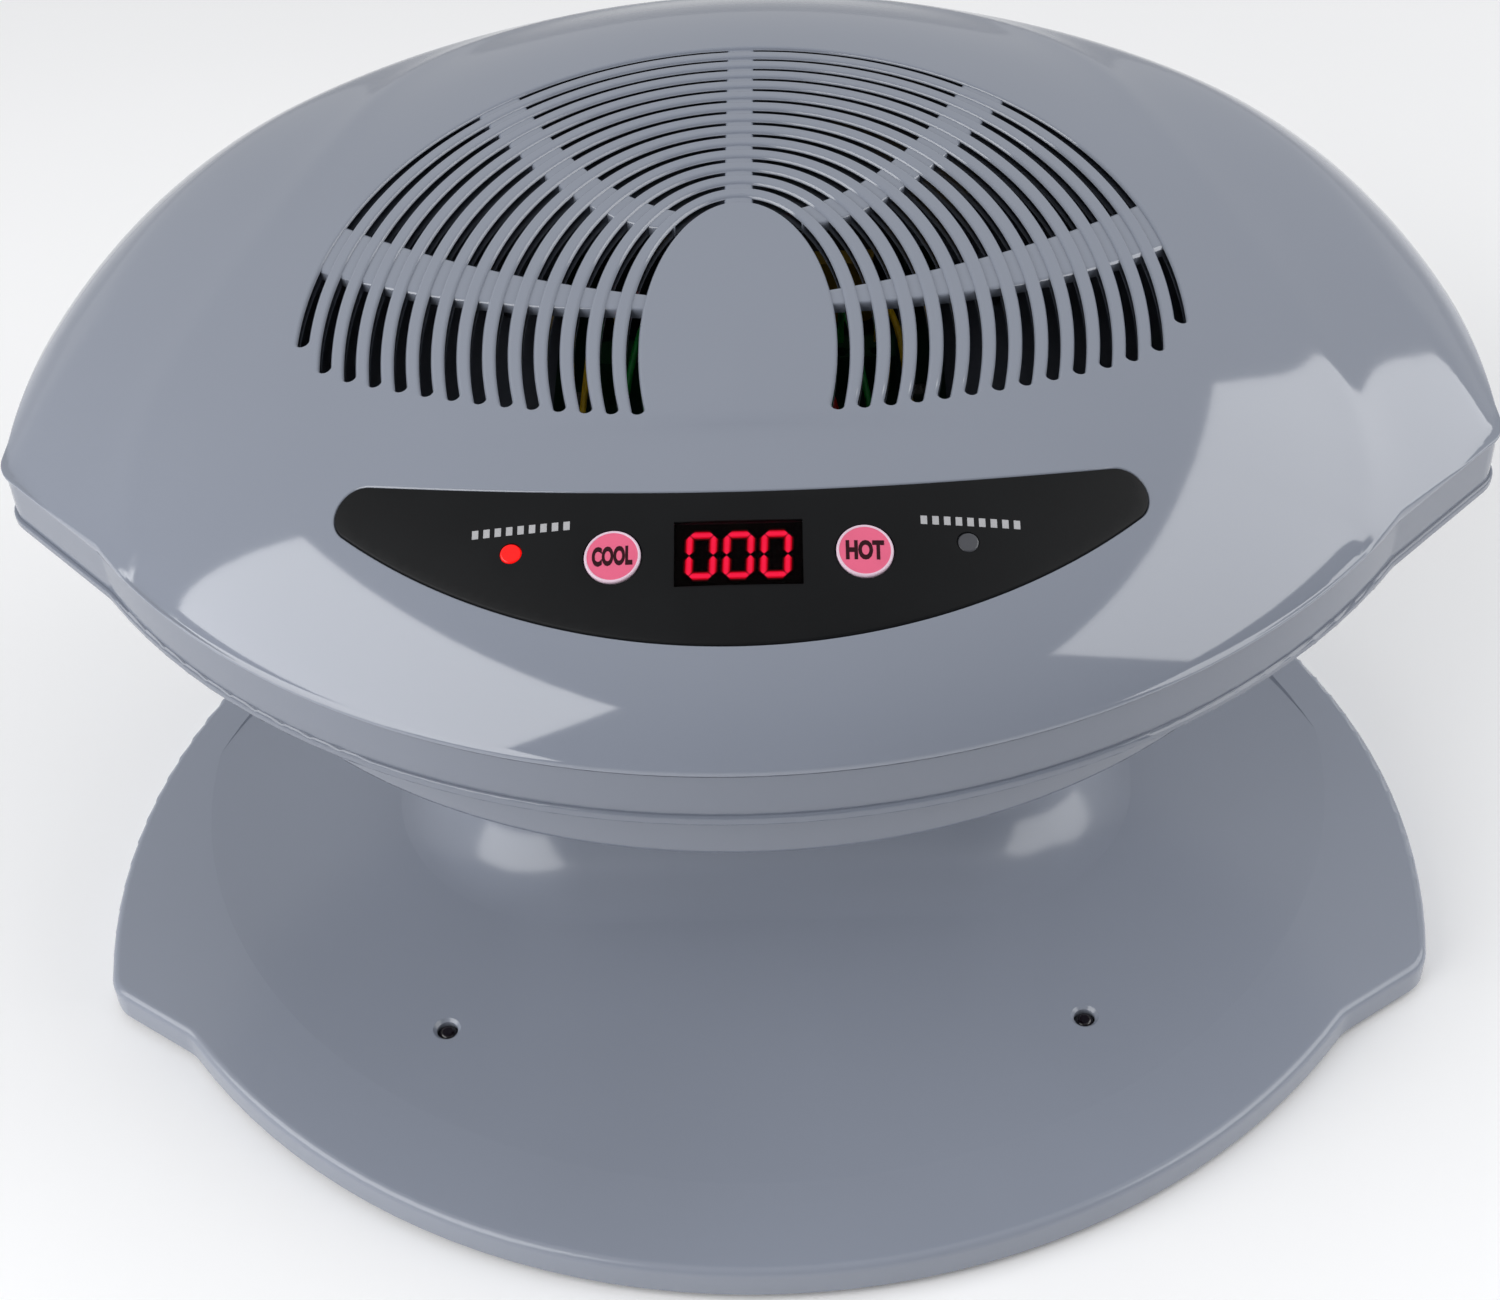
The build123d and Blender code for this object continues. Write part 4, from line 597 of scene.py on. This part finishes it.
for screws in ("hood_screws", "column_screws", "power_board_screws", "fan_screws", "base_screws"):
    CAD_MATERIALS[screws] = zinc
SIDED_MATERIALS = {
    "outlet_grille": grille_black,
    "air_duct": duct_metal,
    "heater_frame": mica,
    "heater_coil": heating_wire,
    "thermal_cutoff": duct_metal,
    "fan_frame": fan_black,
    "fan_stator": winding,
    "fan_rotor": fan_black,
    "sensor_board": board_green_painted_shade,
    "sensor_eye": sensor_dark,
}
for kind, material in SIDED_MATERIALS.items():
    for side in ("left", "right"):
        CAD_MATERIALS[f"{kind}_{side}"] = material

for node, material in CAD_MATERIALS.items():
    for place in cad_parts[node].material_slots:
        place.material = material

# ---------------------------------------------------------------- top cover
RIM_INSETS = (0.0, 0.35, 0.9, 1.7, WALL, 3.8, 5.4, 7.2, 9.2, 11.4)
# inset and height round the rim's lower corner
RIM_CORNER = ((0.0, SEAM_Z + 0.5), (0.15, SEAM_Z + 0.15), (0.5, SEAM_Z), (WALL, SEAM_Z))
EDGE_STEPS = ((0.0, 0.95), (0.12, 0.58), (0.32, 0.30), (0.62, 0.10), (0.98, 0.0))     # off the slot, drop
POCKET_EDGE = ((0.0, 0.35), (0.2, 0.10), (0.5, 0.0))
SKIN_GRID, SKIN_CLEAR = 2.6, 0.55
POCKET_WALL_RUN, SLOT_CLEAR = 0.06, 1.0
COVER_WINDOW_GAP, FILM_WINDOW_GAP = 0.4, 0.1
SKIN_LOW, SKIN_HIGH = (-196, -145), (196, 176)
PANEL_REACH_X, PANEL_FRONT_Y, PANEL_REAR_Y = 95, -123, -74
# faces that lie wholly on one of these loops are left out: the outline, the slots and the holes
OUTER_LABEL, SLOT_LABEL, HOLE_LABEL = 1, 10, 40


def in_grille_field(x, y, margin):
    """True between the slots and within a margin round them."""
    grow = SLOT_WIDTH / 2 + margin
    a, b, centre = slot_shape(0)
    within = hypot(x / (a + grow), (y - centre) / (b + grow)) < 1
    a, b, centre = slot_shape(SLOTS - 1)
    tongue = hypot(x / (a - grow), (y - centre) / (b - grow)) < 1
    return within and y > grille_low_y(x) - margin and not tongue


def panel_holes():
    """The round holes that the cover and the film share, for the two buttons and the two indicators."""
    rings = [hole_ring(side * BUTTON_X, 0, BUTTON_HOLE_R) for side in (-1, 1)]
    rings += [hole_ring(side * LED_X, LED_UP, LED_HOLE_R) for side in (-1, 1)]
    return rings


def off_rings(x, y, rings):
    """True outside every ring's bounding box."""
    for ring in rings:
        xs, ys = [p[0] for p in ring], [p[1] for p in ring]
        if min(xs) < x < max(xs) and min(ys) < y < max(ys):
            return False
    return True


def make_cover():
    """The hood's outer shell: a skin over the crown formula, its inner face, and walls at every edge."""
    skin = Skin()
    rims = [skin.loop(lens_ring(HOOD, d), 0.0, OUTER_LABEL if d == 0 else 0) for d in RIM_INSETS]
    slots = []
    for index in range(SLOTS):
        for off, drop in EDGE_STEPS:
            ring = slot_ring(index, SLOT_WIDTH / 2 + off)
            label = SLOT_LABEL + index if off == 0 else 0
            loop = skin.loop(ring, drop, label)
            if off == 0:
                slots.append(loop)
    for off, drop in reversed(POCKET_EDGE):
        skin.loop(panel_ring(-off), drop)
    skin.loop(panel_ring(POCKET_WALL_RUN), FILM_DEPTH)
    rings = panel_holes() + [window_ring(COVER_WINDOW_GAP)]
    holes = [skin.loop(ring, FILM_DEPTH, HOLE_LABEL + k) for k, ring in enumerate(rings)]
    candidates = []
    for x, y in grid_points(SKIN_LOW, SKIN_HIGH, SKIN_GRID):
        if in_grille_field(x, y, SLOT_CLEAR) or not inside_lens(x, y, RIM_INSETS[-1]):
            continue
        if off_rings(x, y, rings):
            candidates.append((x, y, FILM_DEPTH if inside_panel(x, y) else 0.0))
    skin.fill(candidates, SKIN_GRID * SKIN_CLEAR)
    outer = skin.lifted()
    faces = skin.triangles()
    count = len(outer)
    wall_at = RIM_INSETS.index(WALL)
    outside_wall = {i for ring in rims[:wall_at] for i in ring}
    inner = skin.lifted(WALL)
    inner_faces = [(c + count, b + count, a + count) for a, b, c in faces if not {a, b, c} & outside_wall]
    points = [tuple(p) for p in outer] + [tuple(p) for p in inner]
    for loop in slots + holes:
        faces += wall_between([i + count for i in loop], loop)
    # the rim: down the outside, round its lower corner, under, and up to the inner face
    rim_path = [rims[0]]
    for inset, z in RIM_CORNER:
        first = len(points)
        points += [(x, y, z) for x, y in lens_ring(HOOD, inset)]
        rim_path.append(list(range(first, len(points))))
    rim_path.append([i + count for i in rims[wall_at]])
    for upper, lower in zip(rim_path, rim_path[1:]):
        faces += wall_between(lower, upper)
    cover = make_mesh("top_cover_shell", points, faces + inner_faces)
    use_formula_normals(cover, skin, count)
    return finish_piece(cover, hood_abs, replaces=["top_cover"])


def use_formula_normals(piece, skin, count):
    """Gives the undropped skin the formula's own normals, so that reflections run true over it."""
    mesh = piece.data
    x, y = np.array(skin.points).T
    normals = crown_normals(x, y)
    custom = [(0.0, 0.0, 0.0)] * len(mesh.vertices)
    for i in range(count):
        if skin.drops[i] == 0.0 and skin.labels[i] == 0:
            custom[i] = tuple(normals[i])
    mesh.normals_split_custom_set_from_vertices(custom)


# how far behind and inside the notch the wing's line takes over from the front arc
WING_ZONE_BEHIND, WING_ZONE_INSIDE, NOTCH_ZONE, WING_LINE_SLACK = 12, 30, 6, 60


def inside_lens(x, y, inset):
    """True where a place in the plan is further than inset inside the hood's outline."""
    angle = radians(HOOD["wing"])
    notch_y = HOOD["front_y"] - sqrt(HOOD["front_r"] ** 2 - HOOD["notch_x"] ** 2)
    off_wing = -(abs(x) - HOOD["notch_x"]) * sin(angle) + (y - notch_y) * cos(angle)
    if hypot(x, y - HOOD["rear_y"]) > HOOD["rear_r"] - inset:
        return False
    if y > notch_y + WING_ZONE_BEHIND and abs(x) > HOOD["notch_x"] - WING_ZONE_INSIDE:
        return off_wing > inset
    if hypot(x, y - HOOD["front_y"]) >= HOOD["front_r"] - inset or off_wing <= inset - WING_LINE_SLACK:
        return False
    return abs(x) < HOOD["notch_x"] - NOTCH_ZONE or off_wing > inset


def inside_panel(x, y):
    """True inside the control panel's crescent, up to its rounded ends."""
    low = hypot(x, y - PANEL_LOW_Y) < PANEL_LOW_R
    high = hypot(x, y - PANEL_HIGH_Y) > PANEL_HIGH_R
    return low and high and abs(x) < PANEL_END_X and y < PANEL_END_Y


# share of the way across a spoke, and drop below its top
SPOKE_PROFILE = (
    (0.0, 0.5), (0.03, 0.15), (0.08, 0.0), (0.3, 0.0), (0.5, 0.0), (0.7, 0.0),
    (0.92, 0.0), (0.97, 0.15), (1.0, 0.5),
)
SPOKE_STEPS = 44


def along_edge(edge, share):
    """Point on the parabola that passes an edge's three points at 0, one half and 1."""
    weights = ((1 - share) * (1 - 2 * share), 4 * share * (1 - share), share * (2 * share - 1))
    return tuple(sum(w * point[k] for w, point in zip(weights, edge)) for k in (0, 1))


def spoke_edges():
    """Both edges of all five spokes."""
    half, middle = CENTRE_SPOKE_WIDTH / 2, (CENTRE_SPOKE_LOW + CENTRE_SPOKE_HIGH) / 2
    spokes = [tuple(((x, CENTRE_SPOKE_LOW), (x, middle), (x, CENTRE_SPOKE_HIGH)) for x in (-half, half))]
    for edges in (SIDE_SPOKE, REAR_SPOKE):
        spokes += [tuple(tuple((side * x, y) for x, y in edge) for edge in edges) for side in (1, -1)]
    return spokes


def make_spokes():
    """Flat radial webs a little under the bars, from the tongue to the frame of the grille."""
    points, faces = [], []
    for first_edge, second_edge in spoke_edges():
        start = len(points)
        width = 2 * len(SPOKE_PROFILE)
        for i in range(SPOKE_STEPS + 1):
            share = -SPOKE_OVERRUN + (1 + 2 * SPOKE_OVERRUN) * i / SPOKE_STEPS
            a, b = along_edge(first_edge, share), along_edge(second_edge, share)
            span = (b[0] - a[0], b[1] - a[1])
            row = [(a[0] + span[0] * across, a[1] + span[1] * across) for across, _ in SPOKE_PROFILE]
            tops = [float(crown_height(x, y)) - SPOKE_DEPTH for x, y in row]
            points += [(x, y, top - drop) for (x, y), top, (_, drop) in zip(row, tops, SPOKE_PROFILE)]
            points += [(x, y, top - SPOKE_THICK) for (x, y), top in zip(reversed(row), reversed(tops))]
        for i in range(SPOKE_STEPS):
            near = [start + i * width + k for k in range(width)]
            faces += wall_between(near, [k + width for k in near])
        faces.append(tuple(range(start, start + width)))
        faces.append(tuple(range(start + SPOKE_STEPS * width, start + (SPOKE_STEPS + 1) * width)))
    spokes = make_mesh("grille_spokes", points, faces)
    face_outwards(spokes.data)
    return finish_piece(spokes, hood_abs)


def face_outwards(mesh):
    """Turns the faces of closed shapes outwards."""
    work = bmesh.new()
    work.from_mesh(mesh)
    bmesh.ops.recalc_face_normals(work, faces=work.faces)
    work.to_mesh(mesh)
    work.free()


# ---------------------------------------------------------------- control panel
FILM_EDGE = ((0.0, FILM_PROUD + 0.22), (0.12, 0.06), (0.35, 0.0))     # off the rim, drop
FILM_GRID, FILM_CLEAR, FILM_FLOOR_GAP, HOLE_EDGE_DROP = 2.0, 0.9, 0.02, 0.06


def make_film():
    """The dark film, a thin sheet with softened edges, open at its holes."""
    skin = Skin()
    rim = None
    for off, drop in FILM_EDGE:
        loop = skin.loop(panel_ring(FILM_GAP + off), drop - FILM_PROUD, OUTER_LABEL if off == 0 else 0)
        rim = rim or loop
    rings = panel_holes() + [window_ring(FILM_WINDOW_GAP)]
    holes = [skin.loop(ring, HOLE_EDGE_DROP - FILM_PROUD, HOLE_LABEL + k) for k, ring in enumerate(rings)]
    grid = grid_points((-PANEL_REACH_X, PANEL_FRONT_Y), (PANEL_REACH_X, PANEL_REAR_Y), FILM_GRID)
    inside = [(x, y) for x, y in grid if inside_panel(x, y) and off_rings(x, y, rings)]
    skin.fill([(x, y, -FILM_PROUD) for x, y in inside], FILM_CLEAR)
    outer = skin.lifted()
    faces = skin.triangles()
    count = len(outer)
    under = skin.lifted()
    under[:, 2] = crown_height(under[:, 0], under[:, 1]) - FILM_DEPTH + FILM_FLOOR_GAP
    points = [tuple(p) for p in outer] + [tuple(p) for p in under]
    closed = faces + [(c + count, b + count, a + count) for a, b, c in faces]
    closed += wall_between([i + count for i in rim], rim)
    for loop in holes:
        closed += wall_between([i + count for i in loop], loop)
    film = make_mesh("control_film", points, closed)
    return finish_piece(film, film_black, replaces=["control_overlay"])


# how far out of the skin, and how far from the button's middle
CAP_PROFILE = (
    (0.0, 0.62), (2.0, 0.62), (4.0, 0.60), (5.4, 0.57), (5.95, 0.52), (6.05, 0.58), (6.2, 0.66),
    (6.4, 0.62), (6.52, 0.48), (BUTTON_R, 0.20), (BUTTON_R, -2.0),
)
RIM_FROM = 5.95
CAP_SEGMENTS = 72
FLANGE_RUN, STEM_R = 1.3, 2.4
# height and lift of the words, the stroke's growth before they are fitted, and their thickness
WORD_HEIGHT, WORD_OUT, WORD_BOLD, WORD_THICK = 5.0, 0.66, 0.052, 0.09


def make_button(name, side, word, word_width):
    """Push button: cap, pale rim, flange and stem, and its word."""
    body = f"{name}_button"
    flange_r = BUTTON_R + FLANGE_RUN
    foot = [(BUTTON_R, -CAP_LOW), (flange_r, -CAP_LOW), (flange_r, -FLANGE_LOW)]
    foot += [(STEM_R, -FLANGE_LOW), (STEM_R, -STEM_LOW)]
    points = []
    for radius, out in CAP_PROFILE[1:]:
        for k in range(CAP_SEGMENTS):
            t = 2 * pi * k / CAP_SEGMENTS
            x, up = side * BUTTON_X + radius * cos(t), radius * sin(t)
            points.append(panel_point(x, up, skin_height(x, up) + out))
    for radius, out in foot:
        for k in range(CAP_SEGMENTS):
            t = 2 * pi * k / CAP_SEGMENTS
            points.append(panel_point(side * BUTTON_X + radius * cos(t), radius * sin(t), out))
    rings = len(CAP_PROFILE) - 1 + len(foot)
    faces = []
    for ring in range(rings - 1):
        upper = [ring * CAP_SEGMENTS + k for k in range(CAP_SEGMENTS)]
        lower = [(ring + 1) * CAP_SEGMENTS + k for k in range(CAP_SEGMENTS)]
        faces += wall_between(lower, upper)
    middle = len(points)
    points.append(panel_point(side * BUTTON_X, 0, skin_height(side * BUTTON_X, 0) + CAP_PROFILE[0][1]))
    faces += [(middle, k, (k + 1) % CAP_SEGMENTS) for k in range(CAP_SEGMENTS)]
    last = (rings - 1) * CAP_SEGMENTS
    faces.append(tuple(last + k for k in reversed(range(CAP_SEGMENTS))))
    cap = make_mesh(f"{name}_button_cap", points, faces, sharp=50)
    cap.data.materials.append(button_pink)
    cap.data.materials.append(button_rim)
    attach(cap, body)
    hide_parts(body)
    centre = panel_point(side * BUTTON_X, 0) * MM
    for face in cap.data.polygons:
        spoke = Vector(face.center) - centre
        radius = (spoke - spoke.dot(PANEL_OUT) * PANEL_OUT).length / MM
        face.material_index = 1 if radius > RIM_FROM else 0
    letters = lay_word(f"{name}_button_word", word, side * BUTTON_X, 0.0, WORD_HEIGHT, word_width, WORD_OUT)
    finish_piece(letters, letter_maroon, body)


def lay_word(name, word, x, up, height, width, out):
    """A short word printed on the skin, fitted into a height and a width."""
    curve = bpy.data.curves.new(name, "FONT")
    curve.body = word
    curve.align_x, curve.align_y = "CENTER", "CENTER"
    curve.offset = WORD_BOLD
    curve.resolution_u = 4
    drawn = bpy.data.objects.new(name + "_drawn", curve)
    bpy.context.collection.objects.link(drawn)
    bpy.context.view_layer.update()
    flat = bpy.data.meshes.new_from_object(drawn)
    bpy.data.objects.remove(drawn)
    corners = np.array([v.co[:2] for v in flat.vertices])
    low, high = corners.min(axis=0), corners.max(axis=0)
    middle, size = (low + high) / 2, high - low
    count = len(flat.vertices)
    points = []
    for thickness in (0.0, WORD_THICK):
        for cx, cy in corners:
            px = x + float(cx - middle[0]) / float(size[0]) * width
            py = up + float(cy - middle[1]) / float(size[1]) * height
            points.append(panel_point(px, py, skin_height(px, py) + out - thickness))
    faces = [tuple(f.vertices) for f in flat.polygons]
    edges = dict.fromkeys(edge for face in faces for edge in zip(face, face[1:] + face[:1]))
    sides = [(b, a, a + count, b + count) for a, b in edges if (b, a) not in edges]
    under = [tuple(i + count for i in reversed(face)) for face in faces]
    bpy.data.meshes.remove(flat)
    return make_mesh(name, points, faces + under + sides, sharp=30)


DIGIT_W, DIGIT_H, DIGIT_PITCH, DIGIT_SLANT = 5.5, 10.4, 8.6, 0.04
SEGMENT_GAP, SEGMENT_TAPER, SEGMENT_THICK = 0.16, 0.9, 0.05
SEGMENT_ENDS = (
    ((-1, 1), (1, 1)), ((1, 1), (1, 0)), ((1, 0), (1, -1)),
    ((-1, -1), (1, -1)), ((-1, -1), (-1, 0)), ((-1, 0), (-1, 1)),
)


def make_digits(name, material, width, out):
    """Six lit segments for each of the three noughts of the display."""
    points, faces = [], []
    for digit in (-1, 0, 1):
        for (ax, ay), (bx, by) in SEGMENT_ENDS:
            a = Vector((ax * DIGIT_W / 2, ay * DIGIT_H / 2))
            b = Vector((bx * DIGIT_W / 2, by * DIGIT_H / 2))
            along = (b - a).normalized()
            across = Vector((-along.y, along.x)) * width / 2
            a, b = a + along * SEGMENT_GAP, b - along * SEGMENT_GAP
            taper = along * min(width / 2, SEGMENT_TAPER)
            outline = [a, a + taper + across, b - taper + across, b, b - taper - across, a + taper - across]
            first, count = len(points), len(outline)
            for thickness in (0.0, SEGMENT_THICK):
                for p in outline:
                    px = digit * DIGIT_PITCH + p.x + p.y * DIGIT_SLANT
                    points.append(panel_point(px, p.y, out - thickness))
            top = list(range(first, first + count))
            low = [i + count for i in top]
            faces += [tuple(reversed(top)), tuple(low)]
            faces += wall_between(top, low)
    return finish_piece(make_mesh(name, points, faces, sharp=30), material)


MARK_DASHES, MARK_PITCH, DASH_W, DASH_H, DASH_HALF = 9, 2.7, 1.5, 2.2, 0.05


def make_mark(name, x, up, tilt):
    """A row of short dashes printed over an indicator, level with the film."""
    points, faces = [], []
    for index in range(MARK_DASHES):
        middle = (index - (MARK_DASHES - 1) / 2) * MARK_PITCH
        corners = [(middle + w * DASH_W / 2, h * DASH_H / 2) for w, h in ((-1, -1), (1, -1), (1, 1), (-1, 1))]
        first = len(points)
        for out in (DASH_HALF, -DASH_HALF):
            for along, across in corners:
                px, py = x + along, up + along * tilt + across
                points.append(panel_point(px, py, skin_height(px, py) + FILM_PROUD + out))
        top = list(range(first, first + 4))
        low = [k + 4 for k in top]
        faces += [tuple(top), tuple(reversed(low))]
        faces += wall_between(low, top)
    mark = make_mesh(name, points, faces, sharp=30)
    return finish_piece(mark, mark_white)


make_cover()
make_spokes()
make_film()
make_button("cool", -1, "COOL", 9.4)
make_button("hot", 1, "HOT", 8.8)
make_digits("display_digits_halo", digit_halo, 2.4, -DISPLAY_DEPTH + 0.08)
make_digits("display_digits_glow", digit_glow, 1.7, -DISPLAY_DEPTH + 0.14)
make_digits("display_digits_core", digit_core, 1.0, -DISPLAY_DEPTH + 0.20)
make_mark("cool_indicator_mark", -50.6, 8.6, 0.02)
make_mark("hot_indicator_mark", 53.6, 8.0, -0.02)

# ---------------------------------------------------------------- floor, light and camera
FLOOR_SIZE, FLOOR_GAP = 60.0, 0.0002


def make_floor():
    """A wide pale floor, just under the feet."""
    mesh = bpy.data.meshes.new("studio_floor")
    half = FLOOR_SIZE / 2
    corners = [(x * half, y * half, -FLOOR_GAP) for x, y in ((-1, -1), (1, -1), (1, 1), (-1, 1))]
    mesh.from_pydata(corners, [], [(0, 1, 2, 3)])
    floor = bpy.data.objects.new("studio_floor", mesh)
    bpy.context.collection.objects.link(floor)
    white = moulded("floor_white", (252, 252, 253), rough=0.6, vary=0.01, patch=3.0, bump=0.0)
    floor.data.materials.append(white)


LIGHT_TARGET = (0, -0.02, 0.16)


def softbox(name, azimuth, elevation, distance, width, height, power):
    """Rectangular light aimed at the middle of the hood; azimuth 0 is the front, positive to the right."""
    target = Vector(LIGHT_TARGET)
    a, e = radians(azimuth), radians(elevation)
    towards = Vector((sin(a) * cos(e), -cos(a) * cos(e), sin(e)))
    light = bpy.data.lights.new(name, "AREA")
    light.shape = "RECTANGLE"
    light.size, light.size_y, light.energy = width, height, power
    lamp = bpy.data.objects.new(name, light)
    lamp.location = target + towards * distance
    lamp.rotation_mode = "QUATERNION"
    lamp.rotation_quaternion = towards.to_track_quat("Z", "Y")
    bpy.context.collection.objects.link(lamp)


ROOM_DARK, ROOM_LIGHT = 0.12, 0.65
ROOM_COLOUR = (0.98, 0.99, 1.0, 1.0)
ROOM_AXIS, ROOM_FROM, ROOM_TO = (0.0, 0.86, 0.5), -0.6, 0.9


def studio_world():
    """A white room whose light grows smoothly from the front towards the rear and above."""
    world = bpy.data.worlds.new("studio")
    world.use_nodes = True
    nodes, links = world.node_tree.nodes, world.node_tree.links
    sky = nodes["Background"]
    sky.inputs["Color"].default_value = ROOM_COLOUR
    place = nodes.new("ShaderNodeTexCoord")
    towards = nodes.new("ShaderNodeVectorMath")
    towards.operation = "DOT_PRODUCT"
    towards.inputs[1].default_value = ROOM_AXIS
    links.new(place.outputs["Generated"], towards.inputs[0])
    spread = nodes.new("ShaderNodeMapRange")
    spread.interpolation_type = "SMOOTHSTEP"
    spread.inputs["From Min"].default_value = ROOM_FROM
    spread.inputs["From Max"].default_value = ROOM_TO
    spread.inputs["To Min"].default_value = ROOM_DARK
    spread.inputs["To Max"].default_value = ROOM_LIGHT
    links.new(towards.outputs["Value"], spread.inputs["Value"])
    links.new(spread.outputs["Result"], sky.inputs["Strength"])
    return world


def make_lights():
    """Two soft side lights in the studio room."""
    softbox("softbox_left", -60, 28, 1.3, 1.35, 1.06, 15.6)
    softbox("softbox_right", 88, 30, 1.3, 1.35, 0.88, 9.8)
    bpy.context.scene.world = studio_world()
    bpy.context.scene.view_settings.view_transform = "Standard"


CAMERA_PLACE = Vector((0.0185, -0.5346, 0.5698))
CAMERA_TARGET = Vector((0.0, -0.024, 0.090))
CAMERA_ROLL = -2.78
CAMERA_LENS = 60.05
CAMERA_SHIFT = (-0.0037, 0.0035)
SENSOR_WIDTH, CLIP_NEAR, CLIP_FAR = 36.0, 0.05, 20.0


def make_camera():
    """The camera at the viewing angle of the reference, rolled about its own axis."""
    data = bpy.data.cameras.new("camera")
    data.lens, data.sensor_width = CAMERA_LENS, SENSOR_WIDTH
    data.shift_x, data.shift_y = CAMERA_SHIFT
    data.clip_start, data.clip_end = CLIP_NEAR, CLIP_FAR
    data.dof.use_dof = False
    camera = bpy.data.objects.new("camera", data)
    back = (CAMERA_PLACE - CAMERA_TARGET).normalized()
    level = Vector((-back.y, back.x, 0)).normalized()
    above = back.cross(level)
    roll = radians(CAMERA_ROLL)
    right = level * cos(roll) + above * sin(roll)
    up = above * cos(roll) - level * sin(roll)
    camera.matrix_world = Matrix((
        (right.x, up.x, back.x, CAMERA_PLACE.x),
        (right.y, up.y, back.y, CAMERA_PLACE.y),
        (right.z, up.z, back.z, CAMERA_PLACE.z),
        (0, 0, 0, 1),
    ))
    bpy.context.collection.objects.link(camera)
    bpy.context.scene.camera = camera


make_floor()
make_lights()
make_camera()
